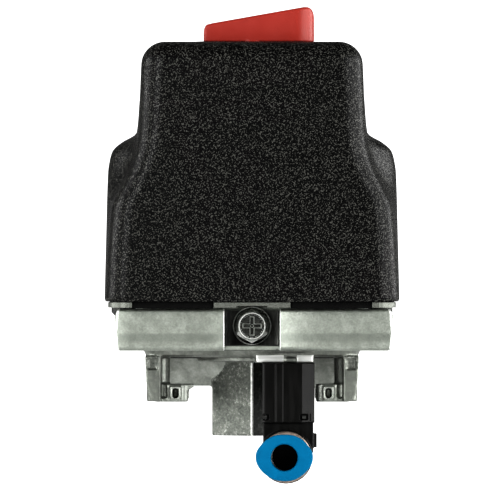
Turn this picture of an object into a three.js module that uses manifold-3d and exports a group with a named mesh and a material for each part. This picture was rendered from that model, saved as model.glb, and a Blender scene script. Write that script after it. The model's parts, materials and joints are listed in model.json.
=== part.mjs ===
// Air-compressor pressure switch: a moulded cover with a turning selector knob over a pressed-steel
// base, a spring-loaded switching mechanism, a die-cast inlet flange and a push-in unloader valve.
// Units are millimetres. +Z is up and -Y is the front, where the cord clamp and the valve outlet face.
// The origin is the centre of the inlet port's lower face.
import * as THREE from "three";
import { mergeVertices } from "three/addons/utils/BufferGeometryUtils.js";
import Module from "manifold-3d";

const wasm = await Module();
wasm.setup();

// ---------- driving dimensions ----------
const GAP = 0.1; // between stacked pieces
const SHEET = 1.2; // zinc-plated steel sheet

const RIM = { half: 25.4, bottom: 18.7, top: 21.2, corner: 6 }; // die-cast flange plate
const PORT = { flats: 18.8, boreR: 6.1, boreDepth: 12, feedR: 3.5 }; // hexagonal inlet boss
const SEAT = { r: 20.2, floor: 19.9, chamberR: 12, chamberFloor: 18.9 }; // diaphragm seat
const RAIL = { outer: 25, inner: 21.3, bottom: 8.25, halfY: 24.4, archR: 7 }; // side walls below the rim
const CROSS = { halfX: 19.7, halfY: 4.9, topHalfY: 8.4, bottom: 11.7 }; // wall across the port
const FOOT = { inner: 15, outer: 22, near: 15.5, far: 23.3, top: 12.4, corner: 0.8 };
const CORE = { centre: 17.85, halfX: 0.7, bottom: 9.2, top: 11.4, rib: 0.55, far: 24.2 }; // slots in the feet
const GROOVE = { inner: 19.9, outer: 21.3, far: 22.4, bottom: 9.1 }; // between each foot and its side wall
const FLANGE_SCREW = { x: 22, y: 17, bottom: 12.5, r: 1.6, holeR: 1.85, bossR: 2.7 };
const VALVE_PAD = { left: 0.9, right: 14.3, front: -25.1, bottom: 17.4, slot: [7.7, 10.4] };

const PLATE = { top: 31.6, halfX: 33.4, front: -43.2, rear: 39.2, corner: 5 };
const PLATE_BOTTOM = PLATE.top - SHEET;
const PAN = { halfX: 27, front: -30.5, rear: 27.5, floor: RIM.top + GAP, holeR: 13.5 };
const PAN_FLOOR_TOP = PAN.floor + SHEET;
const CORD = { inner: 8.9, outer: 27.8, rear: -30.7, x: 18.3, y: -34.9, r: 3.3 }; // cord openings

const CLAMP = { left: -31.8, right: 32.7, front: -40.5, top: 30.1, bottom: 20.4, recess: 6.4, recessRear: -31 };
const CLAMP_SCREW_Z = 26.1;

const COVER = { bottom: 31.8, height: 60.3, centreY: -2, halfDepth: 42, wall: 2.2, edgeR: 5.5, topR: 5 };
const COVER_TOP = COVER.bottom + COVER.height;
const COVER_SCREW = { x: 30.4, y: 4, bossR: 3, bossTop: 50, pilotR: 1.6, pilotTop: 46, holeR: 1.8 };
const EARTH_SCREW = { x: 18, y: 33.2, holeR: 2.2 };
const KNOB = { y: -24, boreR: 5.1, left: -11.3, right: 14.5, halfY: 4.6, lowTop: 96.3, highTop: 100.6 };

const PIVOT = { y: 21, z: 31, r: 1.9 }; // main lever's axle
const LEVER = { halfX: 12, front: -25.5, rear: 25, bottom: 28.3, thick: 1.5 };
const LEVER_TOP = LEVER.bottom + LEVER.thick;
const FRAME = { inner: 13, wall: 1.5, webBottom: 72, rear: 25, legFront: -9, headFront: -18.8 };
const FRAME_TOP = FRAME.webBottom + FRAME.wall;
const FRAME_FOOT = { halfX: 25.4, halfY: 20.6 };
const RANGE = { coilR: 8.2, wireR: 1.1, plateBottom: 60.3, plateThick: 3, screwR: 2.9, pilotR: 1.5 };
const DIFF_Y = -14.5; // the differential spring stands in front of the range spring
const DIFF = { coilR: 3.2, wireR: 0.6, plateBottom: 57.8, plateThick: 2.4, screwR: 1.9, pilotR: 1 };
const ADJUST_ROOM = 2; // how far an adjusting screw's head stands above the frame

const BLOCK = { halfX: 25.5, front: -40.3, rear: -29.6, bottom: 42, top: 56 }; // contact block
const BLOCK_SCREW = { y: -13.5, z: 53, r: 1.5, holeR: 1.7, headR: 2.9 }; // holds the block's arms
const POLES = [-20, -8.5, 8.5, 20]; // terminal positions along X
const BARRIERS = [-14.25, 0, 14.25]; // walls between the terminals
const TERMINAL = { screwY: -36, contactY: -25.4, thick: 1.2 };
const BEAM = { halfX: 22.5, front: -27.6, rear: -21.4, bottom: 59, top: 62.6 }; // moving contact beam
const CAM = { bottom: 66, top: 69, r: 4.6, offset: 2.9 };
const TRIP = { y: -31.1, z: 60.5, pinR: 0.95, holeR: 1.15 };

const VALVE = { x: 8.5, y: -21.7, halfX: 6.1, front: -28.5, rear: -15.5, top: 17.3, bottom: 3.4 };
const VALVE_NECK_R = 2.3;
const VALVE_RIB = { left: 5.6, right: 7.1, proud: 0.35 };
const CLIP = { legs: [2.6, 11.7], width: 0.9, bottom: 4.4, top: 5.1 }; // holds the outlet in the valve
const OUTLET = { x: 7.9, z: -4.45, r: 6.2, front: -32.5, rear: -16.5, boreR: 4.6, tubeR: 3.1 };
const SLEEVE = { r: 5.95, front: -34.4, rear: OUTLET.front - GAP, holeR: 4.7 };
// The release ring hangs a little off the outlet's axis. Side is the outline of its flange, from top to
// bottom on one side, about its own centre.
const RING = {
  x: 7.6,
  z: -4.75,
  holeR: 3.1,
  stemR: 3.95,
  front: -37.6,
  rear: -35.6,
  side: [
    [0, 5.45], [2.2, 5.2], [4.3, 4.45], [5.8, 2.9], [6.6, 1.1],
    [6.6, -0.6], [5.4, -2.5], [3.6, -4.2], [1.9, -5.3], [0, -5.65],
  ],
};

// ---------- materials ----------
const standard = (color, roughness, metalness) =>
  new THREE.MeshStandardMaterial({ color, roughness, metalness });
const M = {
  cover: standard(0x141513, 0.55, 0),
  knob: standard(0xb5352e, 0.4, 0),
  zincPlate: standard(0xa9ada6, 0.35, 0.9),
  dieCast: standard(0x868984, 0.45, 0.85),
  steel: standard(0x8d8f8c, 0.3, 0.95),
  brass: standard(0xb08a45, 0.3, 0.95),
  blackPlastic: standard(0x1c1c1a, 0.45, 0),
  blue: standard(0x0479bb, 0.4, 0),
  rubber: standard(0x0d0d0d, 0.8, 0),
  phenolic: standard(0x4a2f22, 0.6, 0),
  whitePlastic: standard(0xd9d5c8, 0.5, 0),
  aluminium: standard(0xb9bbb8, 0.35, 0.9),
};

// ---------- solids ----------
function solid(geometry) {
  const bare = geometry.index ? geometry.toNonIndexed() : geometry.clone();
  bare.deleteAttribute("normal");
  bare.deleteAttribute("uv");
  const merged = mergeVertices(bare, 1e-4);
  return new wasm.Manifold(
    new wasm.Mesh({
      numProp: 3,
      vertProperties: merged.attributes.position.array,
      triVerts: new Uint32Array(merged.index.array),
    }),
  );
}

// Limits from a to b on one side of the middle, side being -1 or 1.
const span = (side, a, b) => (side * a < side * b ? [side * a, side * b] : [side * b, side * a]);

const join = (first, ...rest) => rest.reduce((sum, part) => sum.add(part), first);
const cut = (first, ...rest) => rest.reduce((left, part) => left.subtract(part), first);

// A box between two limits on each axis.
function box([x0, x1], [y0, y1], [z0, z1]) {
  const g = new THREE.BoxGeometry(x1 - x0, y1 - y0, z1 - z0);
  return solid(g.translate((x0 + x1) / 2, (y0 + y1) / 2, (z0 + z1) / 2));
}

// A round bar along an axis, from and to being its ends on that axis.
function bar(axis, [a, b], from, to, r, sides = 16, endR = r) {
  const g = new THREE.CylinderGeometry(endR, r, to - from, sides).rotateX(Math.PI / 2);
  g.translate(0, 0, (from + to) / 2);
  if (axis === "x") g.rotateY(Math.PI / 2).rotateX(-Math.PI / 2).translate(0, a, b);
  if (axis === "y") g.rotateX(-Math.PI / 2).rotateY(Math.PI).translate(a, 0, b);
  if (axis === "z") g.translate(a, b, 0);
  return solid(g);
}

// A six-sided bar along an axis, with a corner towards -Y (or up, when it lies along Y).
function hexBar(axis, centre, from, to, flats) {
  return bar(axis, centre, from, to, flats / Math.sqrt(3), 6);
}

// A body of revolution about a vertical axis at (x, y); the outline is a list of [radius, z].
function turned(outline, x = 0, y = 0, sides = 24) {
  const points = outline.map(([r, z]) => new THREE.Vector2(r, z));
  return solid(new THREE.LatheGeometry(points, sides).rotateX(Math.PI / 2).translate(x, y, 0));
}

// An outline in the XY plane raised from z0 to z1.
function raised(shape, z0, z1, curveSegments = 6) {
  const g = new THREE.ExtrudeGeometry(shape, { depth: z1 - z0, bevelEnabled: false, curveSegments });
  return solid(g.translate(0, 0, z0));
}

// An outline in the YZ plane drawn along X.
function drawnAlongX(points, x0, x1) {
  const shape = new THREE.Shape(points.map(([y, z]) => new THREE.Vector2(y, z)));
  const g = new THREE.ExtrudeGeometry(shape, { depth: x1 - x0, bevelEnabled: false });
  g.rotateY(Math.PI / 2).rotateX(Math.PI / 2); // the outline's axes become Y and Z, its depth X
  return solid(g.translate(x0, 0, 0));
}

// An outline in the XZ plane drawn along Y.
function drawnAlongY(shape, y0, y1, curveSegments = 6) {
  const g = new THREE.ExtrudeGeometry(shape, { depth: y1 - y0, bevelEnabled: false, curveSegments });
  return solid(g.rotateX(Math.PI / 2).translate(0, y1, 0));
}

function roundedRect(x0, x1, y0, y1, r) {
  const s = new THREE.Shape();
  s.moveTo(x0 + r, y0);
  s.lineTo(x1 - r, y0);
  s.absarc(x1 - r, y0 + r, r, -Math.PI / 2, 0);
  s.lineTo(x1, y1 - r);
  s.absarc(x1 - r, y1 - r, r, 0, Math.PI / 2);
  s.lineTo(x0 + r, y1);
  s.absarc(x0 + r, y1 - r, r, Math.PI / 2, Math.PI);
  s.lineTo(x0, y0 + r);
  s.absarc(x0 + r, y0 + r, r, Math.PI, 1.5 * Math.PI);
  return s;
}

// A closed skin over a stack of rings with the same number of points, with both ends closed.
function loft(rings) {
  const n = rings[0].length;
  const centre = (ring) => new THREE.Vector3().addVectors(ring[0], ring[n / 2]).multiplyScalar(0.5);
  const points = [...rings.flat(), centre(rings[0]), centre(rings.at(-1))];
  const faces = [];
  rings.slice(1).forEach((_, k) => {
    for (let i = 0; i < n; i++) {
      const j = (i + 1) % n;
      const [a, b, c, d] = [k * n + i, k * n + j, (k + 1) * n + j, (k + 1) * n + i];
      faces.push(a, b, c, a, c, d);
    }
  });
  const [low, high, top] = [points.length - 2, points.length - 1, (rings.length - 1) * n];
  for (let i = 0; i < n; i++) {
    const j = (i + 1) % n;
    faces.push(low, j, i, high, top + i, top + j);
  }
  const g = new THREE.BufferGeometry().setFromPoints(points);
  return solid(g.setIndex(faces));
}

class Helix extends THREE.Curve {
  constructor(x, y, z0, z1, r, turns) {
    super();
    Object.assign(this, { x, y, z0, z1, r, turns });
  }
  getPoint(t, target = new THREE.Vector3()) {
    const a = t * this.turns * 2 * Math.PI;
    const z = this.z0 + (this.z1 - this.z0) * t;
    return target.set(this.x + this.r * Math.cos(a), this.y + this.r * Math.sin(a), z);
  }
}

// A coil spring standing between two heights, wire included.
function coil(x, y, z0, z1, r, wireR, turns, perTurn = 12, wireSides = 6) {
  const wire = new THREE.Shape().absarc(0, 0, wireR, 0, 2 * Math.PI);
  const path = new Helix(x, y, z0 + wireR, z1 - wireR, r, turns);
  const steps = Math.round(turns * perTurn);
  const options = { steps, extrudePath: path, bevelEnabled: false, curveSegments: wireSides };
  return solid(new THREE.ExtrudeGeometry(wire, options));
}

// A cross-slotted screw standing on a vertical axis: its head sits from z0 up (or down) to z1.
function screw(x, y, seat, headTop, headR, tip, shankR) {
  const up = Math.sign(headTop - seat);
  const dome = seat + (headTop - seat) * 0.55;
  const [h0, h1] = span(1, seat, headTop);
  const outline =
    up > 0
      ? [[0, h0], [headR, h0], [headR, dome], [headR * 0.66, h1], [0, h1]]
      : [[0, h0], [headR * 0.66, h0], [headR, dome], [headR, h1], [0, h1]];
  const [s0, s1] = span(1, tip, seat + up * 0.2);
  const [d0, d1] = span(1, headTop - up * 1.1, headTop + up);
  const slot = headR * 0.52;
  return cut(
    join(turned(outline, x, y, 16), bar("z", [x, y], s0, s1, shankR, 12)),
    box([x - slot, x + slot], [y - 0.35, y + 0.35], [d0, d1]),
    box([x - 0.35, x + 0.35], [y - slot, y + slot], [d0, d1]),
  );
}

// ---------- die-cast inlet flange ----------
function inletFlange() {
  const h = RIM.half;
  const outline = roundedRect(-h, h, -h, h, RIM.corner);
  const inset = (e, z) =>
    roundedRect(-h + e, h - e, -h + e, h - e, RIM.corner - e)
      .getPoints(4)
      .filter((p, i, all) => i === 0 || p.distanceTo(all[i - 1]) > 1e-6)
      .slice(0, -1)
      .map((p) => new THREE.Vector3(p.x, p.y, z));
  const plate = join(
    raised(outline, RIM.bottom + 1.5, RIM.top, 4),
    loft([inset(1.6, RIM.bottom), inset(0.5, RIM.bottom + 0.5), inset(0, RIM.bottom + 1.6)]),
  );
  const drum = bar("z", [0, 0], 17.6, RIM.bottom + 0.5, 15, 32);
  const port = hexBar("z", [0, 0], 0, RIM.bottom + 0.2, PORT.flats);
  const crossTop = RIM.bottom + 0.2;
  const taper = [
    [-CROSS.halfY, CROSS.bottom], [CROSS.halfY, CROSS.bottom],
    [CROSS.topHalfY, crossTop], [-CROSS.topHalfY, crossTop],
  ];
  const crossWall = join(
    drawnAlongX(taper, -CROSS.halfX, CROSS.halfX),
    box([-RAIL.inner - 0.5, RAIL.inner + 0.5], [-3, 3], [CROSS.bottom, crossTop]),
  );
  return cut(
    join(plate, drum, port, crossWall, valvePad(), ...[-1, 1].flatMap(flangeSide)),
    bar("z", [0, 0], -1, PORT.boreDepth, PORT.boreR, 32),
    bar("z", [0, 0], -1, 20, PORT.feedR, 20),
    bar("z", [0, 0], SEAT.floor, 22, SEAT.r, 40),
    bar("z", [0, 0], SEAT.chamberFloor, 22, SEAT.chamberR, 28),
    bar("z", [VALVE.x, VALVE.y], 16, 22, VALVE_NECK_R + 0.15, 16),
    ...flangeScrewHoles(12, 22),
    ...[-1, 1].flatMap((side) =>
      [-1, 1].map((end) =>
        box(span(side, GROOVE.inner, GROOVE.outer), span(end, GROOVE.far, 30), [GROOVE.bottom, RIM.bottom]),
      ),
    ),
  );
}

function flangeScrewHoles(z0, z1) {
  return [-1, 1].flatMap((sx) =>
    [-1, 1].map((sy) => {
      const centre = [sx * FLANGE_SCREW.x, sy * FLANGE_SCREW.y];
      return bar("z", centre, z0, z1, FLANGE_SCREW.holeR, 14);
    }),
  );
}

function valvePad() {
  const { left, right, front, bottom, slot } = VALVE_PAD;
  return cut(
    box([left, right], [front, -13], [bottom, RIM.bottom + 0.4]),
    box(slot, [front - 1, front + 0.4], [bottom - 1, RIM.bottom]),
  );
}

const flangeSide = (side) => [sideRail(side), ...flangeFeet(side)];

// A side wall with its arch and the cast pockets near its ends.
function sideRail(side) {
  const { outer, inner, bottom, halfY, archR } = RAIL;
  const top = RIM.bottom + 0.2;
  const rail = new THREE.Shape();
  rail.moveTo(side * outer, top);
  rail.lineTo(side * (outer - 0.3), 13);
  rail.quadraticCurveTo(side * (outer - 0.7), bottom, side * (outer - 2.7), bottom);
  rail.lineTo(side * inner, bottom);
  rail.lineTo(side * inner, top);
  const arch = bar("x", [0, bottom], side * 23 - 3, side * 23 + 3, archR, 20);
  const pockets = [-1, 1].map((end) =>
    box(span(side, inner + 0.6, outer - 0.6), span(end, halfY - 0.5, halfY + 0.5), [15.7, 18.6]),
  );
  return cut(drawnAlongY(rail, -halfY, halfY, 5), arch, ...pockets);
}

// The two feet under one side wall, each with a screw boss, a ribbed slot and a groove beside the wall.
function flangeFeet(side) {
  const { inner, outer, near, far, top, corner } = FOOT;
  return [-1, 1].map((end) => {
    const across = span(side, inner, outer);
    const foot = raised(roundedRect(...across, ...span(end, near, far), corner), RAIL.bottom, top, 3);
    const centre = [side * FLANGE_SCREW.x, end * FLANGE_SCREW.y];
    const boss = bar("z", centre, RAIL.bottom, RIM.bottom + 0.2, FLANGE_SCREW.bossR);
    const besideValve = side > 0 && end < 0; // no room for a gusset there
    const slot = span(side, CORE.centre - CORE.halfX, CORE.centre + CORE.halfX);
    const ribs = span(side, CORE.centre - CORE.halfX - CORE.rib, CORE.centre + CORE.halfX + CORE.rib);
    return cut(
      join(
        foot,
        boss,
        ...(besideValve ? [] : [gusset(side, span(end, near, far - 0.3))]),
        box(ribs, span(end, far - 1, CORE.far), [CORE.bottom - 0.3, CORE.top + 0.5]),
      ),
      box(slot, span(end, far - 2.3, far + 2), [CORE.bottom, CORE.top]),
    );
  });
}

// The cast fillet on the inner side of a foot.
function gusset(side, along) {
  const curve = [[15.5, 10.7], [14.9, 10.9], [14.3, 11.4], [13.6, 11.7]];
  const outline = [...curve, [13.6, FOOT.top], [15.5, FOOT.top]];
  return drawnAlongY(new THREE.Shape(outline.map(([x, z]) => new THREE.Vector2(side * x, z))), ...along);
}

function diaphragm() {
  const [low, high] = [SEAT.floor + 0.03, RIM.top - 0.07];
  const fold = [[13.3, high], [12.8, 20.6], [12.3, high]];
  return turned([[0, low], [20, low], [20, high], ...fold, [0, high]], 0, 0, 32);
}

function pressurePlate() {
  const z = PAN.floor;
  const disc = [[0, z], [12.8, z], [12.8, z + 2.4]];
  const stem = [[5, z + 2.4], [5, z + 5.6], [3, z + 6.9], [0, z + 6.9]];
  return turned([...disc, ...stem], 0, 0, 28);
}

// ---------- pressed-steel base ----------
function basePlate() {
  const { halfX, front, rear, corner, top } = PLATE;
  const deck = raised(roundedRect(-halfX, halfX, front, rear, corner), PLATE_BOTTOM, top, 4);
  const pan = raised(roundedRect(-PAN.halfX, PAN.halfX, PAN.front, PAN.rear, 3), PAN.floor, top, 4);
  const t = SHEET;
  const hollow = raised(
    roundedRect(-PAN.halfX + t, PAN.halfX - t, PAN.front + t, PAN.rear - t, 3 - t),
    PAN_FLOOR_TOP,
    top + 1,
    4,
  );
  const collar = bar("y", [0, CLAMP_SCREW_Z], PAN.front + 0.5, PAN.front + 4.5, 3, 20);
  const cordSlots = [-1, 1].map((side) =>
    box(span(side, CORD.inner, CORD.outer), [front - 1, CORD.rear], [PLATE_BOTTOM - 1, top + 1]),
  );
  const deckHoles = [-1, 1].flatMap((side) => [
    bar("z", [side * COVER_SCREW.x, COVER_SCREW.y], 30, 32, COVER_SCREW.holeR, 12),
    bar("z", [side * EARTH_SCREW.x, EARTH_SCREW.y], 30, 32, EARTH_SCREW.holeR, 12),
  ]);
  return cut(
    join(cut(join(deck, pan), hollow), collar),
    bar("y", [0, CLAMP_SCREW_Z], PAN.front - 1, PAN.front + 6, 2.2, 16),
    box([-3.6, 3.6], [front - 1, PAN.front], [PLATE_BOTTOM - 1, PLATE_BOTTOM + 0.4]), // clears the screw
    bar("z", [0, 0], 20, 24, PAN.holeR, 32),
    bar("z", [VALVE.x, VALVE.y], 20, 24, VALVE_NECK_R + 0.3, 16),
    ...cordSlots,
    ...deckHoles,
    ...flangeScrewHoles(20, 24),
  );
}

function grommet(side) {
  const { inner, outer, rear } = CORD;
  const neck = box(span(side, inner + 0.15, outer - 0.15), [-42.6, rear - 0.15], [30.2, 31.7]);
  const lip = box(span(side, inner - 0.9, outer + 0.7), [-41.2, rear + 0.6], [PLATE.top + 0.05, 34.2]);
  return cut(join(neck, lip), bar("z", [side * CORD.x, CORD.y], 29, 36, CORD.r, 20));
}

// ---------- cord clamp ----------
function clampBar() {
  const { left, right, front, top, bottom, recess, recessRear } = CLAMP;
  const t = SHEET;
  // section of the visible strap: a rolled top edge, a flat face and a slightly kicked-out lower lip
  const strap = [
    [front + 3, top], [front + 0.9, top], [front + 0.25, top - 0.3], [front, top - 1.1],
    [front, 24.4], [front - 0.7, 21.4], [front - 0.5, 20.7], [front + 0.3, bottom],
    [front + 3, bottom], [front + 3, bottom + t], [front + 0.75, bottom + t],
    [front + t, 24.4], [front + t, top - t], [front + 3, top - t],
  ];
  const channel = [recessRear - t, recessRear];
  const pocket = [
    box([-recess - t, recess + t], channel, [bottom + 0.6, top - 0.4]),
    box([-recess - t, -recess], [front + 0.4, recessRear], [bottom + 0.6, top - 0.4]),
    box([recess, recess + t], [front + 0.4, recessRear], [bottom + 0.6, top - 0.4]),
  ];
  const lowerLip = box([-recess - t, recess + t], [front + 0.6, recessRear], [bottom, bottom + t]);
  const ends = [drawnAlongX(strap, left, -recess), drawnAlongX(strap, recess, right)];
  return cut(
    join(...ends, ...pocket, lowerLip),
    bar("y", [0, CLAMP_SCREW_Z], recessRear - 3, recessRear + 1, 2.3, 16),
  );
}

function clampScrew() {
  const seat = CLAMP.recessRear - SHEET - GAP;
  const z = CLAMP_SCREW_Z;
  const slots = [
    box([-1.9, 1.9], [seat - 5, seat - 3.1], [z - 0.45, z + 0.45]),
    box([-0.45, 0.45], [seat - 5, seat - 3.1], [z - 1.9, z + 1.9]),
  ];
  return cut(
    join(
      bar("y", [0, z], seat - 0.9, seat, 4.4, 28),
      bar("y", [0, z], seat - 4.2, seat - 0.6, 7 / Math.sqrt(3), 6),
      bar("y", [0, z], seat - 0.2, PAN.front + 4.8, 1.95, 14),
    ),
    bar("y", [0, z], seat - 5, seat - 3.9, 2.7, 20),
    ...slots,
  );
}

// ---------- moulded cover ----------
// Half-widths of the cover, as [height above its rim, half-width]: at mid depth, where the shoulders
// bulge, and at the front and rear ends, where they fall away in a long slope.
const MID_WIDTH = [
  [0, 34.4], [14.5, 34.05], [30, 33.6], [33.3, 33.1], [35.1, 32.5], [36.1, 31.6],
  [37.4, 29.8], [38.3, 28.1], [39.2, 26.95], [46, 26.3], [55.3, 25.7],
];
const END_WIDTH = [
  [0, 34.1], [14.5, 33.3], [22.2, 32.5], [26.2, 30.7], [31, 28.4], [35.6, 26.9],
  [39.2, 26.4], [55.3, 25.7],
];
const SHOULDER_RUN = 11; // how far back from the corner the shoulder reaches its full height
const END_DRAFT = 0.8; // the front and rear faces lean in by this much at the top

function widthAt(table, height) {
  const k = table.findIndex(([h]) => h >= height);
  if (k < 0) return table.at(-1)[1];
  if (k === 0) return table[0][1];
  const [[h0, w0], [h1, w1]] = [table[k - 1], table[k]];
  return w0 + ((w1 - w0) * (height - h0)) / (h1 - h0);
}

// One horizontal ring of the cover at a height, drawn in by an inset.
function coverRing(height, inset) {
  const depth = COVER.halfDepth - inset - (END_DRAFT * height) / COVER.height;
  const [mid, end] = [MID_WIDTH, END_WIDTH].map((table) => widthAt(table, height) - inset);
  const r = Math.max(COVER.edgeR - inset, 0.5);
  const quarter = [];
  for (let i = 0; i <= 3; i++) {
    const a = (i / 3) * (Math.PI / 2);
    quarter.push([end - r + r * Math.sin(a), -depth + r - r * Math.cos(a)]);
  }
  for (let i = 1; i <= 3; i++) {
    const t = i / 3;
    quarter.push([end + (mid - end) * t * t * (3 - 2 * t), -depth + r + SHOULDER_RUN * t]);
  }
  const right = [...quarter, ...quarter.map(([x, y]) => [x, -y]).reverse()];
  const all = [...right, ...right.map(([x, y]) => [-x, -y])];
  return all.map(([x, y]) => new THREE.Vector3(x, y + COVER.centreY, COVER.bottom + height));
}

function coverBody(inset, bottom, top, roundR) {
  const heights = [...new Set([...MID_WIDTH, ...END_WIDTH].map(([h]) => h))].sort((a, b) => a - b);
  const straight = heights.filter((h) => h > bottom && h < top - roundR - 0.3);
  const rings = [coverRing(bottom, inset), ...straight.map((h) => coverRing(h, inset))];
  for (const a of [0, 30, 60, 90]) {
    const rise = roundR * Math.sin((a * Math.PI) / 180);
    const pull = roundR * (1 - Math.cos((a * Math.PI) / 180));
    rings.push(coverRing(top - roundR + rise, inset + pull));
  }
  return loft(rings);
}

function cover() {
  const { wall, height, topR, bottom } = COVER;
  const outside = coverBody(0, 0, height, topR);
  const inside = coverBody(wall, -1, height - wall - 0.2, topR - wall + 0.4);
  const { x, y, bossR, bossTop, pilotR, pilotTop } = COVER_SCREW;
  const bosses = [-1, 1].map((side) => bar("z", [side * x, y], bottom + 0.2, bossTop, bossR, 14));
  const bossHoles = [-1, 1].map((side) => bar("z", [side * x, y], bottom - 1, pilotTop, pilotR, 12));
  return cut(
    join(cut(outside, inside), ...bosses),
    ...bossHoles,
    bar("z", [0, KNOB.y], COVER_TOP - 6, COVER_TOP + 1, KNOB.boreR, 24),
  );
}

// ---------- selector knob ----------
function selectorKnob() {
  const { left, right, halfY, lowTop, highTop, y } = KNOB;
  const base = COVER_TOP + 0.2;
  const side = new THREE.Shape();
  side.moveTo(left, base);
  side.lineTo(right, base);
  side.lineTo(right - 0.15, highTop - 2.3);
  side.quadraticCurveTo(right - 0.25, highTop, right - 2.6, highTop - 0.15);
  side.lineTo(left + 1.2, lowTop);
  side.quadraticCurveTo(left, lowTop - 0.2, left, lowTop - 1.4);
  const plan = new THREE.Shape();
  plan.moveTo(left, -halfY + 0.6);
  plan.quadraticCurveTo(left, -halfY, left + 0.6, -halfY);
  plan.lineTo(right - 3.8, -halfY);
  plan.quadraticCurveTo(right - 0.4, -halfY + 0.4, right, 0);
  plan.quadraticCurveTo(right - 0.4, halfY - 0.4, right - 3.8, halfY);
  plan.lineTo(left + 0.6, halfY);
  plan.quadraticCurveTo(left, halfY, left, halfY - 0.6);
  const grip = raised(plan, base - 1, highTop + 1, 5).translate([0, y, 0]);
  const handle = drawnAlongY(side, y - 10, y + 10, 5).intersect(grip);
  const hub = bar("z", [0, y], COVER_TOP - 6.4, base + 0.3, 4.8, 24);
  return cut(join(handle, hub), bar("z", [0, y], COVER_TOP - 8, COVER_TOP - 1, 3, 20));
}

function selectorCam() {
  return join(
    bar("z", [0, KNOB.y], CAM.bottom, COVER_TOP - 1.3, 2.75, 18),
    bar("z", [-CAM.offset, KNOB.y], CAM.bottom, CAM.top, CAM.r, 24),
  );
}

function knobClip() {
  const z = COVER_TOP - COVER.wall - 1.5;
  return cut(bar("z", [0, KNOB.y], z, z + 0.8, 7, 20), bar("z", [0, KNOB.y], z - 1, z + 2, 4.95, 20));
}

// ---------- switching mechanism ----------
function mechanismFrame() {
  const { inner, wall, webBottom, rear, legFront, headFront } = FRAME;
  const outer = inner + wall;
  const foot = PAN_FLOOR_TOP + GAP;
  const profile = [
    [legFront, foot], [rear, foot], [rear, FRAME_TOP],
    [headFront, FRAME_TOP], [headFront, 50], [legFront, 46],
  ];
  const walls = [drawnAlongX(profile, -outer, -inner), drawnAlongX(profile, inner, outer)];
  const web = box([-outer, outer], [headFront, rear], [webBottom, FRAME_TOP]);
  const feet = [-1, 1].map((side) => {
    const { halfX, halfY } = FRAME_FOOT;
    return box(span(side, inner, halfX), [-halfY, halfY], [foot, foot + wall]);
  });
  const window = box([-20, 20], [0, 18], [40, 66]);
  return cut(
    join(...walls, web, ...feet),
    window,
    bar("x", [PIVOT.y, PIVOT.z], -16, 16, PIVOT.r + 0.2, 16),
    bar("x", [BLOCK_SCREW.y, BLOCK_SCREW.z], -16, 16, BLOCK_SCREW.holeR, 12),
    bar("z", [0, 0], webBottom - 2, FRAME_TOP + 1.5, RANGE.screwR + 0.4, 16),
    bar("z", [0, DIFF_Y], webBottom - 2, FRAME_TOP + 1.5, DIFF.screwR + 0.3, 14),
    ...flangeScrewHoles(20, 26),
  );
}

function mainLever() {
  const { halfX, front, rear, bottom } = LEVER;
  const cheeks = [-1, 1].map((side) => box(span(side, halfX - 1.4, halfX), [14, rear], [bottom, 34.5]));
  const tongue = box([-halfX, halfX], [front, rear], [bottom, LEVER_TOP]);
  return cut(
    join(tongue, ...cheeks),
    bar("x", [PIVOT.y, PIVOT.z], -14, 14, PIVOT.r + 0.12, 16),
    box([-6.5, 6.5], [17, 26], [bottom - 1, 36]),
  );
}

const pivotPin = () => bar("x", [PIVOT.y, PIVOT.z], -17, 17, PIVOT.r, 16);

function pivotClip(side) {
  const axis = [PIVOT.y, PIVOT.z];
  const washer = bar("x", axis, ...span(side, 14.8, 15.6), 3.8, 16);
  return cut(washer, bar("x", axis, -17, 17, PIVOT.r + 0.15, 16));
}

function adjusterPlate(y, depth, bottom, thick, holeR) {
  const half = FRAME.inner - 0.4;
  return cut(
    box([-half, half], [y - depth / 2, y + depth / 2], [bottom, bottom + thick]),
    bar("z", [0, y], bottom - 1, bottom + thick + 1, holeR, 16),
  );
}

// The screw runs in the frame's top, bears on its plate and centres it with a thin pilot.
function adjusterScrew(y, { plateBottom, plateThick, screwR, pilotR }, flats, head) {
  const seat = FRAME_TOP + ADJUST_ROOM;
  const bearing = plateBottom + plateThick + GAP;
  return join(
    bar("z", [0, y], bearing, seat + 1, screwR, 14),
    bar("z", [0, y], plateBottom - 2, bearing + 0.5, pilotR, 12),
    bar("z", [0, y], seat, seat + 0.9, flats * 0.62, 20),
    hexBar("z", [0, y], seat + 0.7, seat + 0.9 + head, flats),
  );
}

// ---------- contact block ----------
function contactBlock() {
  const { halfX, front, rear, bottom, top } = BLOCK;
  const body = box([-halfX, halfX], [front, rear], [bottom, top]);
  const barriers = BARRIERS.map((x) => box([x - 0.8, x + 0.8], [front + 0.6, -33], [top - 0.5, 61.5]));
  const arms = [-1, 1].map((side) => box(span(side, 14.7, 18.4), [rear - 0.5, -9.6], [50, top]));
  const ears = [-1, 1].map((side) => box(span(side, 3.6, 4.9), [-33, rear], [top - 0.5, 62.3]));
  const channels = POLES.map((x) => box([x - 4, x + 4], [front - 1, -33.5], [bottom - 1, 47]));
  return cut(
    join(body, ...barriers, ...arms, ...ears),
    ...channels,
    ...POLES.map((x) => bar("z", [x, TERMINAL.screwY], 46, 58, 1.8, 12)),
    bar("x", [TRIP.y, TRIP.z], -8, 8, TRIP.holeR, 12),
    bar("x", [BLOCK_SCREW.y, BLOCK_SCREW.z], -20, 20, BLOCK_SCREW.holeR, 12),
  );
}

const blockScrew = (side) =>
  join(
    bar("x", [BLOCK_SCREW.y, BLOCK_SCREW.z], ...span(side, 18.5, 20.6), BLOCK_SCREW.headR, 14),
    bar("x", [BLOCK_SCREW.y, BLOCK_SCREW.z], ...span(side, 12.7, 19), BLOCK_SCREW.r, 12),
  );

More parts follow.
